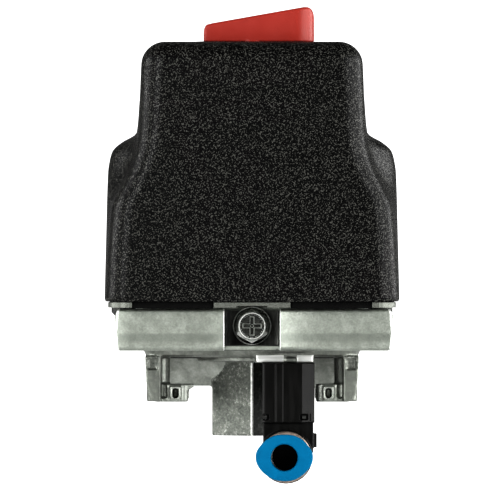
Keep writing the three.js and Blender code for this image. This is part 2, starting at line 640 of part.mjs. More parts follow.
function terminal(x) {
  const z = BLOCK.top + GAP;
  const strap = box([x - 3.4, x + 3.4], [-39.6, -31.2], [z, z + TERMINAL.thick]);
  const tail = box([x - 2.4, x + 2.4], [-31.5, -23.2], [z, z + TERMINAL.thick]);
  const pad = bar("z", [x, TERMINAL.contactY], z + 1, z + TERMINAL.thick + 0.4, 1.9, 16);
  return cut(join(strap, tail, pad), bar("z", [x, TERMINAL.screwY], z - 1, z + 3, 1.8, 12));
}

const terminalScrew = (x) => {
  const seat = BLOCK.top + 2 * GAP + TERMINAL.thick;
  return screw(x, TERMINAL.screwY, seat, seat + 2.2, 3, 48, 1.5);
};

function contactBeam() {
  const { halfX, front, rear, bottom, top } = BEAM;
  return join(
    box([-halfX, halfX], [front, rear], [bottom, top]),
    box([-3.5, 3.5], [-26, rear], [LEVER_TOP + 0.2, bottom + 1]),
    box([-halfX, -halfX + 2], [front - 1.2, front + 1], [bottom, top]),
    box([halfX - 2, halfX], [front - 1.2, front + 1], [bottom, top]),
  );
}

function contactBridge(side) {
  const xs = POLES.filter((x) => Math.sign(x) === side);
  const [x0, x1] = [Math.min(...xs) - 2.2, Math.max(...xs) + 2.2];
  const top = BEAM.bottom - GAP;
  const pads = xs.map((x) => bar("z", [x, TERMINAL.contactY], top - 1.1, top - 0.6, 1.9, 16));
  return join(box([x0, x1], [-27.4, -23.4], [top - 0.8, top]), ...pads);
}

// ---------- off-position trip lever ----------
function tripLever() {
  const { y, z } = TRIP;
  return cut(
    join(
      bar("x", [y, z], -3.4, 3.4, 1.9, 16),
      box([-3.2, 3.2], [y - 0.6, y + 0.6], [z, 70]),
      box([-3, 3], [y, -27.2], [57, 57.8]),
      box([-3, 3], [y - 0.6, y + 0.6], [57, z]),
    ),
    bar("x", [y, z], -5, 5, TRIP.holeR, 12),
  );
}

const tripPin = () => bar("x", [TRIP.y, TRIP.z], -5.6, 5.6, TRIP.pinR, 12);

// ---------- unloader valve ----------
function valveBody() {
  const { x, y, halfX, front, rear, top, bottom } = VALVE;
  const outline = new THREE.Shape();
  outline.moveTo(x - halfX, front + 0.5);
  outline.lineTo(x - halfX + 0.5, front);
  outline.lineTo(x + halfX - 2.9, front);
  outline.lineTo(x + halfX, front + 2.6);
  outline.lineTo(x + halfX, rear);
  outline.lineTo(x - halfX, rear);
  const neck = bar("z", [x, y], top - 0.5, 26.6, VALVE_NECK_R, 16);
  const rib = box([VALVE_RIB.left, VALVE_RIB.right], [front - VALVE_RIB.proud, front + 0.5], [bottom, top]);
  const clipSlots = CLIP.legs.map((x0) => {
    const across = [x0 - 0.5, x0 + CLIP.width + 0.5];
    return box(across, [front - 1, rear + 1], [CLIP.bottom - 0.3, CLIP.top + 0.3]);
  });
  return cut(
    join(raised(outline, bottom, top), neck, rib),
    bar("z", [x, y], bottom - 1, 14.4, 3.9, 18),
    bar("z", [x, y], 14, 28, 1.3, 14),
    ...clipSlots,
  );
}

const valveNut = () =>
  cut(
    hexBar("z", [VALVE.x, VALVE.y], PAN_FLOOR_TOP + GAP, PAN_FLOOR_TOP + 2.7, 8.6),
    bar("z", [VALVE.x, VALVE.y], 20, 30, VALVE_NECK_R + 0.15, 16),
  );

function valvePin() {
  const { x, y } = VALVE;
  const collar = [[1, 10.6], [3.3, 10.6], [3.3, 11.2], [1, 11.2]]; // the spring's upper seat
  return turned([[0, 5.6], [1, 5.6], ...collar, [1, 28], [0, 28.2]], x, y, 14);
}

// A rubber cap on the pin's lower tip, resting on the passage's mouth.
const valveSeal = () =>
  cut(bar("z", [VALVE.x, VALVE.y], 4.45, 7, 1.95, 18), bar("z", [VALVE.x, VALVE.y], 5.55, 8, 1.07, 14));

function valveOutlet() {
  const { x, z, r, front, rear, boreR, tubeR } = OUTLET;
  const barrel = bar("y", [x, z], front, rear, r, 28);
  const shoulder = box([VALVE.x - 5.9, VALVE.x + 5.8], [-27.8, rear + 0.2], [z + 1, VALVE.bottom - GAP]);
  const plug = bar("z", [VALVE.x, VALVE.y], 2.9, 4.4, 3.6, 18);
  const latch = box([13.7, 15.1], [-26.5, -22.5], [-2.3, 0.9]);
  return cut(
    join(barrel, shoulder, plug, latch),
    bar("y", [x, z], front - 1, -25, boreR, 24),
    bar("y", [x, z], front - 1, -19, tubeR, 20),
    bar("z", [VALVE.x, VALVE.y], z, 6, 1.6, 12),
  );
}

function valveClip() {
  const { legs, width, bottom, top } = CLIP;
  const back = box([legs[0], legs[1] + width], [-15.3, -14.3], [bottom, top]);
  return join(...legs.map((x0) => box([x0, x0 + width], [-28.3, -14.6], [bottom, top])), back);
}

const ringAround = (y0, y1, outerR, innerR, sides = 24) =>
  cut(
    bar("y", [OUTLET.x, OUTLET.z], y0, y1, outerR, sides),
    bar("y", [OUTLET.x, OUTLET.z], y0 - 1, y1 + 1, innerR, sides),
  );

function releaseRing() {
  const right = RING.side.map(([x, z]) => new THREE.Vector3(RING.x + x, RING.z + z, 0));
  const left = right.slice(1, -1).map((p) => new THREE.Vector3(2 * RING.x - p.x, p.y, 0));
  const curve = new THREE.CatmullRomCurve3([...right, ...left.reverse()], true);
  const outline = curve.getPoints(48).slice(0, -1).map((p) => new THREE.Vector2(p.x, p.y));
  const flange = drawnAlongY(new THREE.Shape(outline), RING.front, RING.rear);
  const stem = bar("y", [RING.x, RING.z], RING.rear - 0.2, -31.4, RING.stemR, 24);
  return cut(join(flange, stem), bar("y", [RING.x, RING.z], -40, -30, RING.holeR, 24));
}

// ---------- assembly ----------
const assembly = new THREE.Group();

function add(name, made, material) {
  const { vertProperties, numProp, numVert, triVerts } = made.getMesh();
  const positions = new Float32Array(numVert * 3);
  for (let i = 0; i < numVert; i++) {
    positions.set(vertProperties.subarray(i * numProp, i * numProp + 3), i * 3);
  }
  const geometry = new THREE.BufferGeometry();
  geometry.setAttribute("position", new THREE.BufferAttribute(positions, 3));
  geometry.setIndex(new THREE.BufferAttribute(triVerts, 1));
  geometry.computeVertexNormals();
  const mesh = new THREE.Mesh(geometry, material);
  mesh.name = name;
  assembly.add(mesh);
}

const SIDES = { left: -1, right: 1 };

add("inlet_flange", inletFlange(), M.dieCast);
add("diaphragm", diaphragm(), M.rubber);
add("pressure_plate", pressurePlate(), M.aluminium);
add("base_plate", basePlate(), M.zincPlate);
for (const [end, sy] of [["front", -1], ["rear", 1]]) {
  for (const [side, sx] of Object.entries(SIDES)) {
    const seat = PAN_FLOOR_TOP + FRAME.wall + 2 * GAP;
    const [x, y] = [sx * FLANGE_SCREW.x, sy * FLANGE_SCREW.y];
    const made = screw(x, y, seat, seat + 2.5, 3.3, FLANGE_SCREW.bottom, FLANGE_SCREW.r);
    add(`flange_screw_${end}_${side}`, made, M.steel);
  }
}

add("clamp_bar", clampBar(), M.zincPlate);
add("clamp_screw", clampScrew(), M.steel);

add("cover", cover(), M.cover);
add("selector_knob", selectorKnob(), M.knob);
add("selector_cam", selectorCam(), M.whitePlastic);
add("knob_clip", knobClip(), M.steel);

add("mechanism_frame", mechanismFrame(), M.zincPlate);
add("main_lever", mainLever(), M.zincPlate);
add("pivot_pin", pivotPin(), M.steel);
add(
  "range_spring",
  coil(0, 0, LEVER_TOP + GAP, RANGE.plateBottom - GAP, RANGE.coilR, RANGE.wireR, 5.5),
  M.steel,
);
add("range_plate", adjusterPlate(0, 19, RANGE.plateBottom, RANGE.plateThick, RANGE.pilotR + 0.2), M.steel);
add("range_screw", adjusterScrew(0, RANGE, 10, 4), M.steel);
add(
  "differential_spring",
  coil(0, DIFF_Y, LEVER_TOP + GAP, DIFF.plateBottom - GAP, DIFF.coilR, DIFF.wireR, 9, 9, 5),
  M.steel,
);
add(
  "differential_plate",
  adjusterPlate(DIFF_Y, 7.6, DIFF.plateBottom, DIFF.plateThick, DIFF.pilotR + 0.2),
  M.steel,
);
add("differential_screw", adjusterScrew(DIFF_Y, DIFF, 7, 3), M.steel);

add("contact_block", contactBlock(), M.phenolic);
const POLE_NAMES = ["line_left", "load_left", "load_right", "line_right"];
POLES.forEach((x, i) => {
  add(`terminal_${POLE_NAMES[i]}`, terminal(x), M.brass);
  add(`terminal_screw_${POLE_NAMES[i]}`, terminalScrew(x), M.steel);
});
add("contact_beam", contactBeam(), M.whitePlastic);
add("trip_lever", tripLever(), M.steel);
add("trip_pin", tripPin(), M.steel);

function coverScrew(side) {
  const seat = PLATE_BOTTOM - GAP;
  return screw(side * COVER_SCREW.x, COVER_SCREW.y, seat, seat - 2.3, 2.9, 44, 1.4);
}

function earthScrew(side) {
  const seat = PLATE.top + GAP;
  return screw(side * EARTH_SCREW.x, EARTH_SCREW.y, seat, seat + 2.5, 3.4, 26.5, 1.95);
}

for (const [side, s] of Object.entries(SIDES)) {
  add(`grommet_${side}`, grommet(s), M.rubber);
  add(`cover_screw_${side}`, coverScrew(s), M.steel);
  add(`earth_screw_${side}`, earthScrew(s), M.brass);
  add(`pivot_clip_${side}`, pivotClip(s), M.steel);
  add(`block_screw_${side}`, blockScrew(s), M.steel);
  add(`contact_bridge_${side}`, contactBridge(s), M.brass);
}

add("valve_body", valveBody(), M.blackPlastic);
add("valve_nut", valveNut(), M.brass);
add("valve_pin", valvePin(), M.steel);
add("valve_seal", valveSeal(), M.rubber);
add("valve_spring", coil(VALVE.x, VALVE.y, 4.5, 10.5, 2.5, 0.35, 4, 10, 4), M.steel);
add("valve_outlet", valveOutlet(), M.blackPlastic);
add("valve_clip", valveClip(), M.steel);
add("outlet_sleeve", ringAround(SLEEVE.front, SLEEVE.rear, SLEEVE.r, SLEEVE.holeR), M.aluminium);
add("tube_collet", ringAround(-30.1, -28.4, OUTLET.boreR - 0.15, 3.2), M.steel);
add("tube_seal", ringAround(-27.6, -25.4, OUTLET.boreR - 0.15, 3.15), M.rubber);
add("release_ring", releaseRing(), M.blue);

export default assembly;
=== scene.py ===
"""The looks of an air-compressor pressure switch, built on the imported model's frame.

Lengths in the code are millimetres unless a name or a comment says otherwise; M turns them into metres.
+Z is up, -Y is the front and the origin is the centre of the inlet port's lower face.
"""

import json
import math

import bmesh
import bpy
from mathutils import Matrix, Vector


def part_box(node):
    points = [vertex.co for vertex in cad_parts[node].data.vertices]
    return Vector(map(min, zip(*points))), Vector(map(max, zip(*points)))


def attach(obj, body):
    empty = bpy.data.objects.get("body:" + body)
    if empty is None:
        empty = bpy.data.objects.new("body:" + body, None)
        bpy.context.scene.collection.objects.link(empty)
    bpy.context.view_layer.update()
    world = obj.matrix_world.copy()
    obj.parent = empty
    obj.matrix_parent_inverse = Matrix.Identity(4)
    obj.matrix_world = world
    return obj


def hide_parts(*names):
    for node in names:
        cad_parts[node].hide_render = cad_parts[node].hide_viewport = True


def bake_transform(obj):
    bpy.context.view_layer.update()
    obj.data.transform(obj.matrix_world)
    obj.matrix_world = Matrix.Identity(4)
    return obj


M = 0.001
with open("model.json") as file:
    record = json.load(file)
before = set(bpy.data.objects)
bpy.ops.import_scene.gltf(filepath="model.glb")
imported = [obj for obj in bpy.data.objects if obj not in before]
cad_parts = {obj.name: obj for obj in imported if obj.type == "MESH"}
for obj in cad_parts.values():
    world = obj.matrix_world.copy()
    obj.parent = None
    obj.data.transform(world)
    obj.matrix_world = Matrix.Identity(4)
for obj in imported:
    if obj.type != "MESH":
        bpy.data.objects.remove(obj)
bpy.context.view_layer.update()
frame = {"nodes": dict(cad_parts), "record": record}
slot_of = {part["node"]: part["material_slot"] for part in frame["record"]["subparts"]}
body_with = {
    node: body for body, nodes in frame["record"]["behaviour"]["bodies"].items() for node in nodes
}

# ---------- dimensions shared with the solids ----------
COVER = {"bottom": 31.8, "height": 60.3, "y": -2, "half_depth": 42, "wall": 2.2, "edge_r": 5.5, "top_r": 5}
KNOB = {"y": -24, "left": -11.3, "right": 14.5, "half_y": 4.6, "low_top": 96.3, "high_top": 100.45}
KNOB_BORE_R = 5.1
COVER_SCREW = (30.4, 4)
CLAMP = {
    "left": -31.8, "right": 32.7, "front": -40.5, "top": 30.1, "bottom": 20.4, "recess": 6.4,
    "recess_rear": -31,
}
CLAMP_SCREW_Z = 26.1
PLATE_UNDERSIDE = 30.42
PAN_FRONT = -30.5
SHEET = 1.2
SLEEVE = (7.9, -4.45)  # x and z of the outlet barrel's axis
RING = (7.5, -4.5)  # x and z of the release ring's axis
VALVE = {"x": 8.5, "y": -21.7, "front": -28.5, "rear": -15.5, "bottom": 3.4}
FLANGE = {
    "pads": ((0.9, 7.4), (10.5, 14.3)), "pad_low": 17.3, "pad_high": 19.2, "pad_y": -24.2,
    "boss_half_x": 9.6, "corner_y": -10.3,
    "web": (-12.2, 18.8, 6.1),  # x, z and radius of a patch of painted light that stands for the curve where the cross wall runs into the boss
}


# ---------- node helpers ----------
def linear(hex_colour):
    """A web colour as linear RGB with alpha 1."""
    parts = [int(hex_colour[i : i + 2], 16) / 255 for i in (0, 2, 4)]
    return (*[c / 12.92 if c <= 0.04045 else ((c + 0.055) / 1.055) ** 2.4 for c in parts], 1)


class Finish:
    """A Principled material whose patterns are laid out in the object's own space, in millimetres."""

    def __init__(self, name, colour, roughness, metallic=0.0, specular=0.5):
        self.material = bpy.data.materials.new(name)
        self.material.use_nodes = True
        self.tree = self.material.node_tree
        self.shader = self.tree.nodes["Principled BSDF"]
        self.shader.inputs["Base Color"].default_value = linear(colour)
        self.shader.inputs["Roughness"].default_value = roughness
        self.shader.inputs["Metallic"].default_value = metallic
        self.shader.inputs["Specular IOR Level"].default_value = specular
        self.place = self.stretched(self.node("TexCoord").outputs["Object"], (1 / M, 1 / M, 1 / M))
        self.normal = None

    def node(self, kind, **inputs):
        """A new node; each input is a value to set or another node's output to link to it."""
        node = self.tree.nodes.new("ShaderNode" + kind)
        for name, value in inputs.items():
            self.feed(node.inputs[name.replace("_", " ")], value)
        return node

    def feed(self, socket, value):
        if isinstance(value, bpy.types.NodeSocket):
            self.tree.links.new(value, socket)
        else:
            socket.default_value = value

    def stretched(self, vector, scale, turn=(0, 0, 0)):
        return self.node("Mapping", Vector=vector, Scale=scale, Rotation=turn).outputs["Vector"]

    def height(self):
        """The position along z in millimetres."""
        return self.node("SeparateXYZ", Vector=self.place).outputs["Z"]

    def facing_up(self):
        """How far the surface faces along z, from -1 to 1."""
        normal = self.node("TexCoord").outputs["Normal"]
        return self.node("SeparateXYZ", Vector=normal).outputs["Z"]

    def noise(self, size, detail=3.0, roughness=0.5, stretch=(1, 1, 1), distortion=0.0, turn=(0, 0, 0)):
        """Soft noise with features about size millimetres across."""
        return self.node(
            "TexNoise", Vector=self.stretched(self.place, stretch, turn), Scale=1 / size, Detail=detail,
            Roughness=roughness, Distortion=distortion,
        ).outputs["Fac"]

    def cells(self, size):
        """Distance to the nearest of points scattered about size millimetres apart."""
        return self.node("TexVoronoi", Vector=self.place, Scale=1 / size).outputs["Distance"]

    def spread(self, value, low, high, to_low=0.0, to_high=1.0):
        """Value stretched from low..high to to_low..to_high, and held at both ends."""
        return self.node(
            "MapRange", Value=value, From_Min=low, From_Max=high, To_Min=to_low, To_Max=to_high
        ).outputs["Result"]

    def join(self, a, b, how="ADD"):
        """Two values, or a value and a number, put together by one sum."""
        node = self.node("Math")
        node.operation = how
        self.feed(node.inputs[0], a)
        self.feed(node.inputs[1], b)
        return node.outputs["Value"]

    def colours(self, value, *stops):
        """The base colour follows value through the stops, each (position, web colour)."""
        node = self.node("ValToRGB", Fac=value)
        ramp = node.color_ramp
        while len(ramp.elements) < len(stops):
            ramp.elements.new(0.5)
        for element, (position, colour) in zip(ramp.elements, stops):
            element.position, element.color = position, linear(colour)
        self.feed(self.shader.inputs["Base Color"], node.outputs["Color"])

    def sheen(self, value, to_low, to_high, low=0.3, high=0.7):
        """The roughness goes from to_low to to_high as value goes from low to high."""
        self.feed(self.shader.inputs["Roughness"], self.spread(value, low, high, to_low, to_high))

    def relief(self, height, depth, strength=1.0):
        """A bump of that depth in millimetres, laid over any before it."""
        node = self.node("Bump", Strength=strength, Distance=depth * M, Height=height)
        if self.normal:
            self.feed(node.inputs["Normal"], self.normal)
        self.normal = node.outputs["Normal"]
        self.feed(self.shader.inputs["Normal"], self.normal)
        return self


# ---------- materials ----------
def grained_black():
    """Cover plastic with a coarse spark-eroded grain: dull black pits between glossier tips, whose grey
    colour is a painted glint.
    """
    f = Finish("grained_black", "060606", 0.3, specular=0.09)
    grain = f.noise(0.33, detail=1.5, roughness=0.6, turn=(0.6, 0.5, 0.4))
    glint_tips = f.spread(grain, 0.46, 0.6)
    # painted glint: the tips' grey colour stands for the light that they catch
    f.colours(glint_tips, (0.0, "010101"), (0.5, "050505"), (0.75, "1d1d1c"), (1.0, "3e3e3b"))
    f.sheen(grain, 0.5, 0.24, low=0.42, high=0.54)
    return f.relief(grain, 0.06, 0.8).relief(f.noise(9, detail=2), 0.05).material


def inner_black():
    """The smoother moulded inside of the cover."""
    f = Finish("inner_black", "151514", 0.5, specular=0.35)
    f.sheen(f.noise(5), 0.42, 0.58)
    return f.relief(f.noise(1.2), 0.02).material


def red_plastic():
    f = Finish("red_plastic", "7b2822", 0.38, specular=0.2)
    f.colours(f.noise(6, detail=4), (0.25, "792820"), (0.75, "822e26"))
    f.sheen(f.noise(3), 0.34, 0.44)
    return f.relief(f.noise(0.5, detail=2), 0.01).relief(f.noise(7), 0.05).material


def zinc_sheet(name="zinc_sheet", painted_edge_shade=False, painted_bend_shade=None):
    """Satin zinc plating over rolled steel, with faint mottling, drag marks and a few dark pits; it can
    also paint shade on upright faces above the plate's underside and in a band round a bend.
    """
    f = Finish(name, "8b8f88", 0.44, metallic=0.75)
    mottle = f.noise(2.2, detail=6, roughness=0.65, turn=(0.3, 0.2, 0.5))
    fine = f.noise(0.45, detail=3, roughness=0.6, turn=(0.5, 0.3, 0.2))
    pits = f.spread(f.cells(9), 0.03, 0.045)
    tone = f.join(f.spread(mottle, 0.25, 0.75, 0.1, 0.6), f.spread(fine, 0.25, 0.75, 0.1, 0.4))
    tone = f.join(tone, pits, "MULTIPLY")
    # painted shade: upright faces above the plate's underside go dark
    if painted_edge_shade:
        below_plate = f.spread(f.height(), PLATE_UNDERSIDE, PLATE_UNDERSIDE - 0.07)
        lying = f.spread(f.join(f.facing_up(), 0, "ABSOLUTE"), 0.4, 0.6)
        tone = f.join(tone, f.join(below_plate, lying, "MAXIMUM"), "MULTIPLY")
    # painted shade: darker in a band round the bend at that height
    if painted_bend_shade:
        away = f.join(f.join(f.height(), -painted_bend_shade), 0, "ABSOLUTE")
        tone = f.join(tone, f.spread(away, 0.5, 1.3, 0.6, 1.0), "MULTIPLY")
    f.colours(tone, (0.0, "5a5c57"), (0.18, "666a64"), (0.5, "747871"), (1.0, "91958e"))
    f.sheen(f.noise(1.1, detail=5, roughness=0.7), 0.38, 0.5)
    drag = f.noise(0.5, detail=3, stretch=(0.06, 1, 1), turn=(0, 0.12, 0))
    return f.relief(drag, 0.008).relief(mottle, 0.1).relief(fine, 0.03).relief(pits, 0.04).material


def recess_shade_zinc():
    """The same plating down in the screw's recess, painted dark for the shade that falls there."""
    f = Finish("recess_shade_zinc", "1a1a19", 0.5, metallic=0.4, specular=0.2)
    streak = f.noise(1.1, detail=5, roughness=0.65, stretch=(1, 1, 0.2))
    f.colours(streak, (0.3, "2a2b29"), (0.55, "474845"), (0.75, "80827d"))
    f.sheen(streak, 0.55, 0.38)
    return f.relief(streak, 0.05).material


def die_cast(name="die_cast", dark="585a56", middle="676a64", light="7e807b"):
    """Zinc casting with its smooth satin skin."""
    f = Finish(name, middle, 0.44, metallic=0.75)
    fine = f.noise(0.6, detail=5, roughness=0.65)
    patch = f.noise(4, detail=4, roughness=0.6, distortion=0.6)
    tone = f.join(f.spread(fine, 0.25, 0.75, 0, 0.4), f.spread(patch, 0.3, 0.7, 0, 0.6))
    f.colours(tone, (0.15, dark), (0.5, middle), (0.85, light))
    f.sheen(patch, 0.5, 0.38)
    return f.relief(fine, 0.025, 0.6).relief(patch, 0.15, 0.6).material


def rubbed_cast():
    """The port boss, where handling and tumbling left the skin scratched and flecked."""
    f = Finish("rubbed_cast", "8b8e88", 0.4, metallic=0.8)
    fine = f.noise(0.5, detail=5, roughness=0.72)
    patch = f.noise(2.6, detail=4, roughness=0.65, distortion=1.0)
    tone = f.join(f.spread(fine, 0.25, 0.75, 0, 0.6), f.spread(patch, 0.3, 0.7, 0, 0.4))
    f.colours(tone, (0.15, "40423f"), (0.4, "575a55"), (0.6, "686a65"), (0.85, "a9aca6"))
    f.sheen(patch, 0.5, 0.34)
    return f.relief(fine, 0.05, 0.6).relief(patch, 0.15, 0.6).material


def painted_shade_cast():
    """Cast skin painted dark for the shade and shadow that fall behind the valve and under the rim."""
    f = Finish("painted_shade_cast", "2a2b29", 0.45, metallic=0.5, specular=0.25)
    grime = f.noise(0.8, detail=5, roughness=0.7)
    f.colours(grime, (0.3, "1c1d1b"), (0.55, "30312f"), (0.8, "5a5c58"))
    f.sheen(grime, 0.55, 0.38)
    return f.relief(grime, 0.05).material


def edge_wear_and_highlight():
    """Bare bright metal where an edge has been knocked and rubbed, used also as a painted highlight on
    edges that catch the light.
    """
    f = Finish("edge_wear_and_highlight", "b4b6b2", 0.42, metallic=0.45)
    wear = f.noise(0.5, detail=4, roughness=0.6)
    f.colours(wear, (0.3, "8b8d89"), (0.6, "c4c6c2"))
    f.sheen(wear, 0.5, 0.34)
    return f.relief(wear, 0.015).material


def scuff_and_highlight_edge():
    """Pale metal round the screw's cross and washer: driver scuffs and painted highlights on the edges that
    catch the light.
    """
    f = Finish("scuff_and_highlight_edge", "dadcd8", 0.38, metallic=0.3)
    scuff = f.noise(0.35, detail=4, roughness=0.65)
    f.colours(scuff, (0.3, "a9aba7"), (0.6, "e6e8e4"))
    f.sheen(scuff, 0.45, 0.3)
    return f.relief(scuff, 0.015).material


def dark_steel_and_slot_shade():
    """Dark steel of the valve's clip and the cover's screws; on the clip its darkness is painted shade in
    the valve's slots.
    """
    f = Finish("dark_steel_and_slot_shade", "2a2b29", 0.5, metallic=0.7)
    f.colours(f.noise(0.8, detail=4), (0.3, "1c1c1b"), (0.7, "3a3b39"))
    f.sheen(f.noise(0.5), 0.45, 0.6)
    return f.relief(f.noise(0.4), 0.01).material


def machined_zinc():
    """The casting's freshly cut pads."""
    f = Finish("machined_zinc", "d8dad6", 0.42, metallic=0.6)
    mark = f.noise(0.7, detail=4, stretch=(0.1, 1, 1))
    f.colours(mark, (0.3, "c4c6c2"), (0.7, "ecedea"))
    f.sheen(mark, 0.36, 0.5)
    return f.relief(mark, 0.01).material


def screw_steel():
    """The clamp screw's bright-dipped plating, made darker as painted shade on its flat faces."""
    f = Finish("screw_steel", "4c4d4a", 0.2, metallic=0.97)
    f.colours(f.noise(0.8, detail=5, roughness=0.65), (0.3, "353634"), (0.7, "5f615d"))
    f.sheen(f.noise(0.5, detail=4), 0.14, 0.28)
    return f.relief(f.noise(0.5, detail=3), 0.03).material


def bright_steel():
    """Zinc-plated screws, pins and springs."""
    f = Finish("bright_steel", "9c9e9a", 0.28, metallic=0.95)
    f.colours(f.noise(1.6, detail=5, roughness=0.6), (0.25, "7f817d"), (0.75, "b4b6b1"))
    f.sheen(f.noise(0.7, detail=4), 0.2, 0.38)
    return f.relief(f.noise(0.6, detail=3), 0.012).material


def spring_steel():
    f = Finish("spring_steel", "6d6f6c", 0.3, metallic=0.95)
    f.colours(f.noise(1.2, detail=4), (0.3, "565856"), (0.75, "8f918d"))
    f.sheen(f.noise(0.5, detail=3), 0.24, 0.42)
    return f.relief(f.noise(0.3, detail=2), 0.006).material


def turned_brass():
    f = Finish("turned_brass", "b08d4a", 0.3, metallic=0.95)
    f.colours(f.noise(1.8, detail=5), (0.25, "94733a"), (0.55, "b28f4c"), (0.8, "c5a563"))
    f.sheen(f.noise(0.8, detail=4), 0.22, 0.42)
    return f.relief(f.noise(0.5, detail=3), 0.01).material


def satin_aluminium():
    f = Finish("satin_aluminium", "b5b4b0", 0.35, metallic=0.95)
    f.colours(f.noise(2, detail=4), (0.3, "a3a29e"), (0.7, "bfbebb"))
    f.sheen(f.noise(1, detail=4), 0.28, 0.45)
    return f.relief(f.noise(0.4, stretch=(1, 1, 6)), 0.008).material


def sleeve_metal():
    """The fitting's taupe plated sleeve."""
    f = Finish("sleeve_metal", "8c7e74", 0.42, metallic=0.75)
    f.colours(f.noise(1.5, detail=4), (0.3, "7b6e65"), (0.7, "988a7f"))
    f.sheen(f.noise(1, detail=3), 0.35, 0.5)
    return f.relief(f.noise(0.4), 0.008).material


def valve_black():
    """Glass-filled black plastic with faint flow marks down the moulding."""
    f = Finish("valve_black", "0c0c0b", 0.42, specular=0.11)
    flow = f.noise(0.9, detail=4, stretch=(1, 1, 0.12))
    f.colours(flow, (0.3, "090908"), (0.7, "121211"))
    f.sheen(flow, 0.28, 0.4)
    return f.relief(f.noise(0.4, detail=2), 0.012).relief(flow, 0.02).material


def blue_plastic():
    f = Finish("blue_plastic", "00618f", 0.5, specular=0.05)
    f.colours(f.noise(3, detail=3), (0.3, "005271"), (0.7, "005777"))
    f.sheen(f.noise(1.5), 0.45, 0.56)
    return f.relief(f.noise(0.4, detail=2), 0.008).material


def black_rubber():
    f = Finish("black_rubber", "080808", 0.75, specular=0.08)
    dust = f.noise(1.2, detail=5, roughness=0.7)
    f.colours(dust, (0.35, "050505"), (0.8, "121211"))
    f.sheen(dust, 0.65, 0.85)
    return f.relief(f.noise(0.25, detail=2), 0.02).material


def phenolic():
    """Dark thermoset moulding with fine flecks of filler."""
    f = Finish("phenolic", "3c2419", 0.4, specular=0.5)
    fleck = f.noise(0.5, detail=4, roughness=0.75)
    f.colours(fleck, (0.3, "2a1810"), (0.62, "452a1d"), (0.78, "6b4833"))
    f.sheen(f.noise(4), 0.32, 0.5)
    return f.relief(fleck, 0.02).material


def ivory_plastic():
    f = Finish("ivory_plastic", "d8d3c2", 0.45, specular=0.45)
    f.colours(f.noise(5, detail=4), (0.3, "cfc9b6"), (0.75, "dfdaca"))
    f.sheen(f.noise(2), 0.38, 0.52)
    return f.relief(f.noise(0.5, detail=2), 0.01).material


FINISHES = {
    "cover": grained_black(),
    "knob": red_plastic(),
    "zinc_plate": zinc_sheet(),
    "die_cast": die_cast(),
    "steel": bright_steel(),
    "brass": turned_brass(),
    "black_plastic": valve_black(),
    "blue_plastic": blue_plastic(),
    "rubber": black_rubber(),
    "phenolic": phenolic(),
    "white_plastic": ivory_plastic(),
    "aluminium": satin_aluminium(),
}
EDGE_WEAR_AND_HIGHLIGHT = edge_wear_and_highlight()
SPRING_STEEL = spring_steel()
# CAD nodes whose finish isn't their slot's.
# the valve clip's dark steel is painted shade in its slots
OWN_FINISH = dict.fromkeys(("valve_clip", "cover_screw_left", "cover_screw_right"), dark_steel_and_slot_shade())
# the base plate's finish paints shade on its upright edges
OWN_FINISH["base_plate"] = zinc_sheet("plate_zinc", painted_edge_shade=True)


# ---------- mesh helpers ----------
def placed(name, data):
    """A new object in the scene."""
    thing = bpy.data.objects.new(name, data)
    bpy.context.scene.collection.objects.link(thing)
    return thing


def built(bm, name="cutter"):
    """An object in metres made of bm, which is in millimetres and is used up."""
    bmesh.ops.recalc_face_normals(bm, faces=bm.faces)
    mesh = bpy.data.meshes.new(name)
    bm.to_mesh(mesh)
    bm.free()
    for vertex in mesh.vertices:
        vertex.co *= M
    return placed(name, mesh)


def smoothed(thing, sharp):
    """Shades smooth, except across edges sharper than so many degrees."""
    thing.data.shade_smooth()
    thing.data.set_sharp_from_angle(angle=math.radians(sharp))


def standing_for(thing, node, finish=None):
    """Gives a piece the finish of the CAD node's slot, or the finish given, and hides the node that it
    replaces.
    """
    thing.data.materials.append(finish or FINISHES[slot_of[node]])
    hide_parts(node)
    return thing


def piece(name, bm, node, sharp=35, finish=None):
    """A new piece made of bm that stands for a CAD node; most callers attach it to a body."""
    thing = built(bm, name)
    smoothed(thing, sharp)
    return standing_for(thing, node, finish)


def baked(thing):
    """Writes an object's modifiers into its mesh."""
    shape = bpy.data.meshes.new_from_object(thing.evaluated_get(bpy.context.evaluated_depsgraph_get()))
    thing.modifiers.clear()
    old, thing.data = thing.data, shape
    bpy.data.meshes.remove(old)
    return thing


def loft(bm, rings, closed=False):
    """Faces between rings with the same number of points; the last ring meets the first if closed.

    It returns the rings' rows of vertices.
    """
    rows = [[bm.verts.new(p) for p in ring] for ring in rings]
    count = len(rows[0])
    pairs = list(zip(rows, rows[1:])) + ([(rows[-1], rows[0])] if closed else [])
    for low, high in pairs:
        for i in range(count):
            j = (i + 1) % count
            bm.faces.new((low[i], low[j], high[j], high[i]))
    return rows


def capped_loft(bm, rings):
    rows = loft(bm, rings)
    bm.faces.new(rows[0][::-1])
    bm.faces.new(rows[-1])


def rung_cap(bm, row):
    """Closes a ring that is symmetrical about its first point with rungs from side to side."""
    first, rest = row[0], row[1:]
    bm.faces.new((first, rest[0], rest[-1]))
    count = len(rest)
    for i in range(count // 2):
        a, b, c, d = rest[i], rest[i + 1], rest[count - 2 - i], rest[count - 1 - i]
        bm.faces.new((a, b, d) if b is c else (a, b, c, d))


def painted(bm, first, index):
    """Gives the faces made since the first one a material index."""
    bm.faces.ensure_lookup_table()
    for face in bm.faces[first:]:
        face.material_index = index


def spin(bm, outline, centre, axis="z", sides=64):
    """A turned shape; the outline is a closed list of (radius, distance along the axis)."""
    rings = []
    for r, h in outline:
        ring = []
        for i in range(sides):
            a = 2 * math.pi * i / sides
            u, v = r * math.cos(a), r * math.sin(a)
            across = (centre[0] + u, centre[1] + v)
            ring.append((*across, h) if axis == "z" else (across[0], h, across[1]))
        rings.append(ring)
    loft(bm, rings, closed=True)


NEARLY_STRAIGHT = math.radians(176)


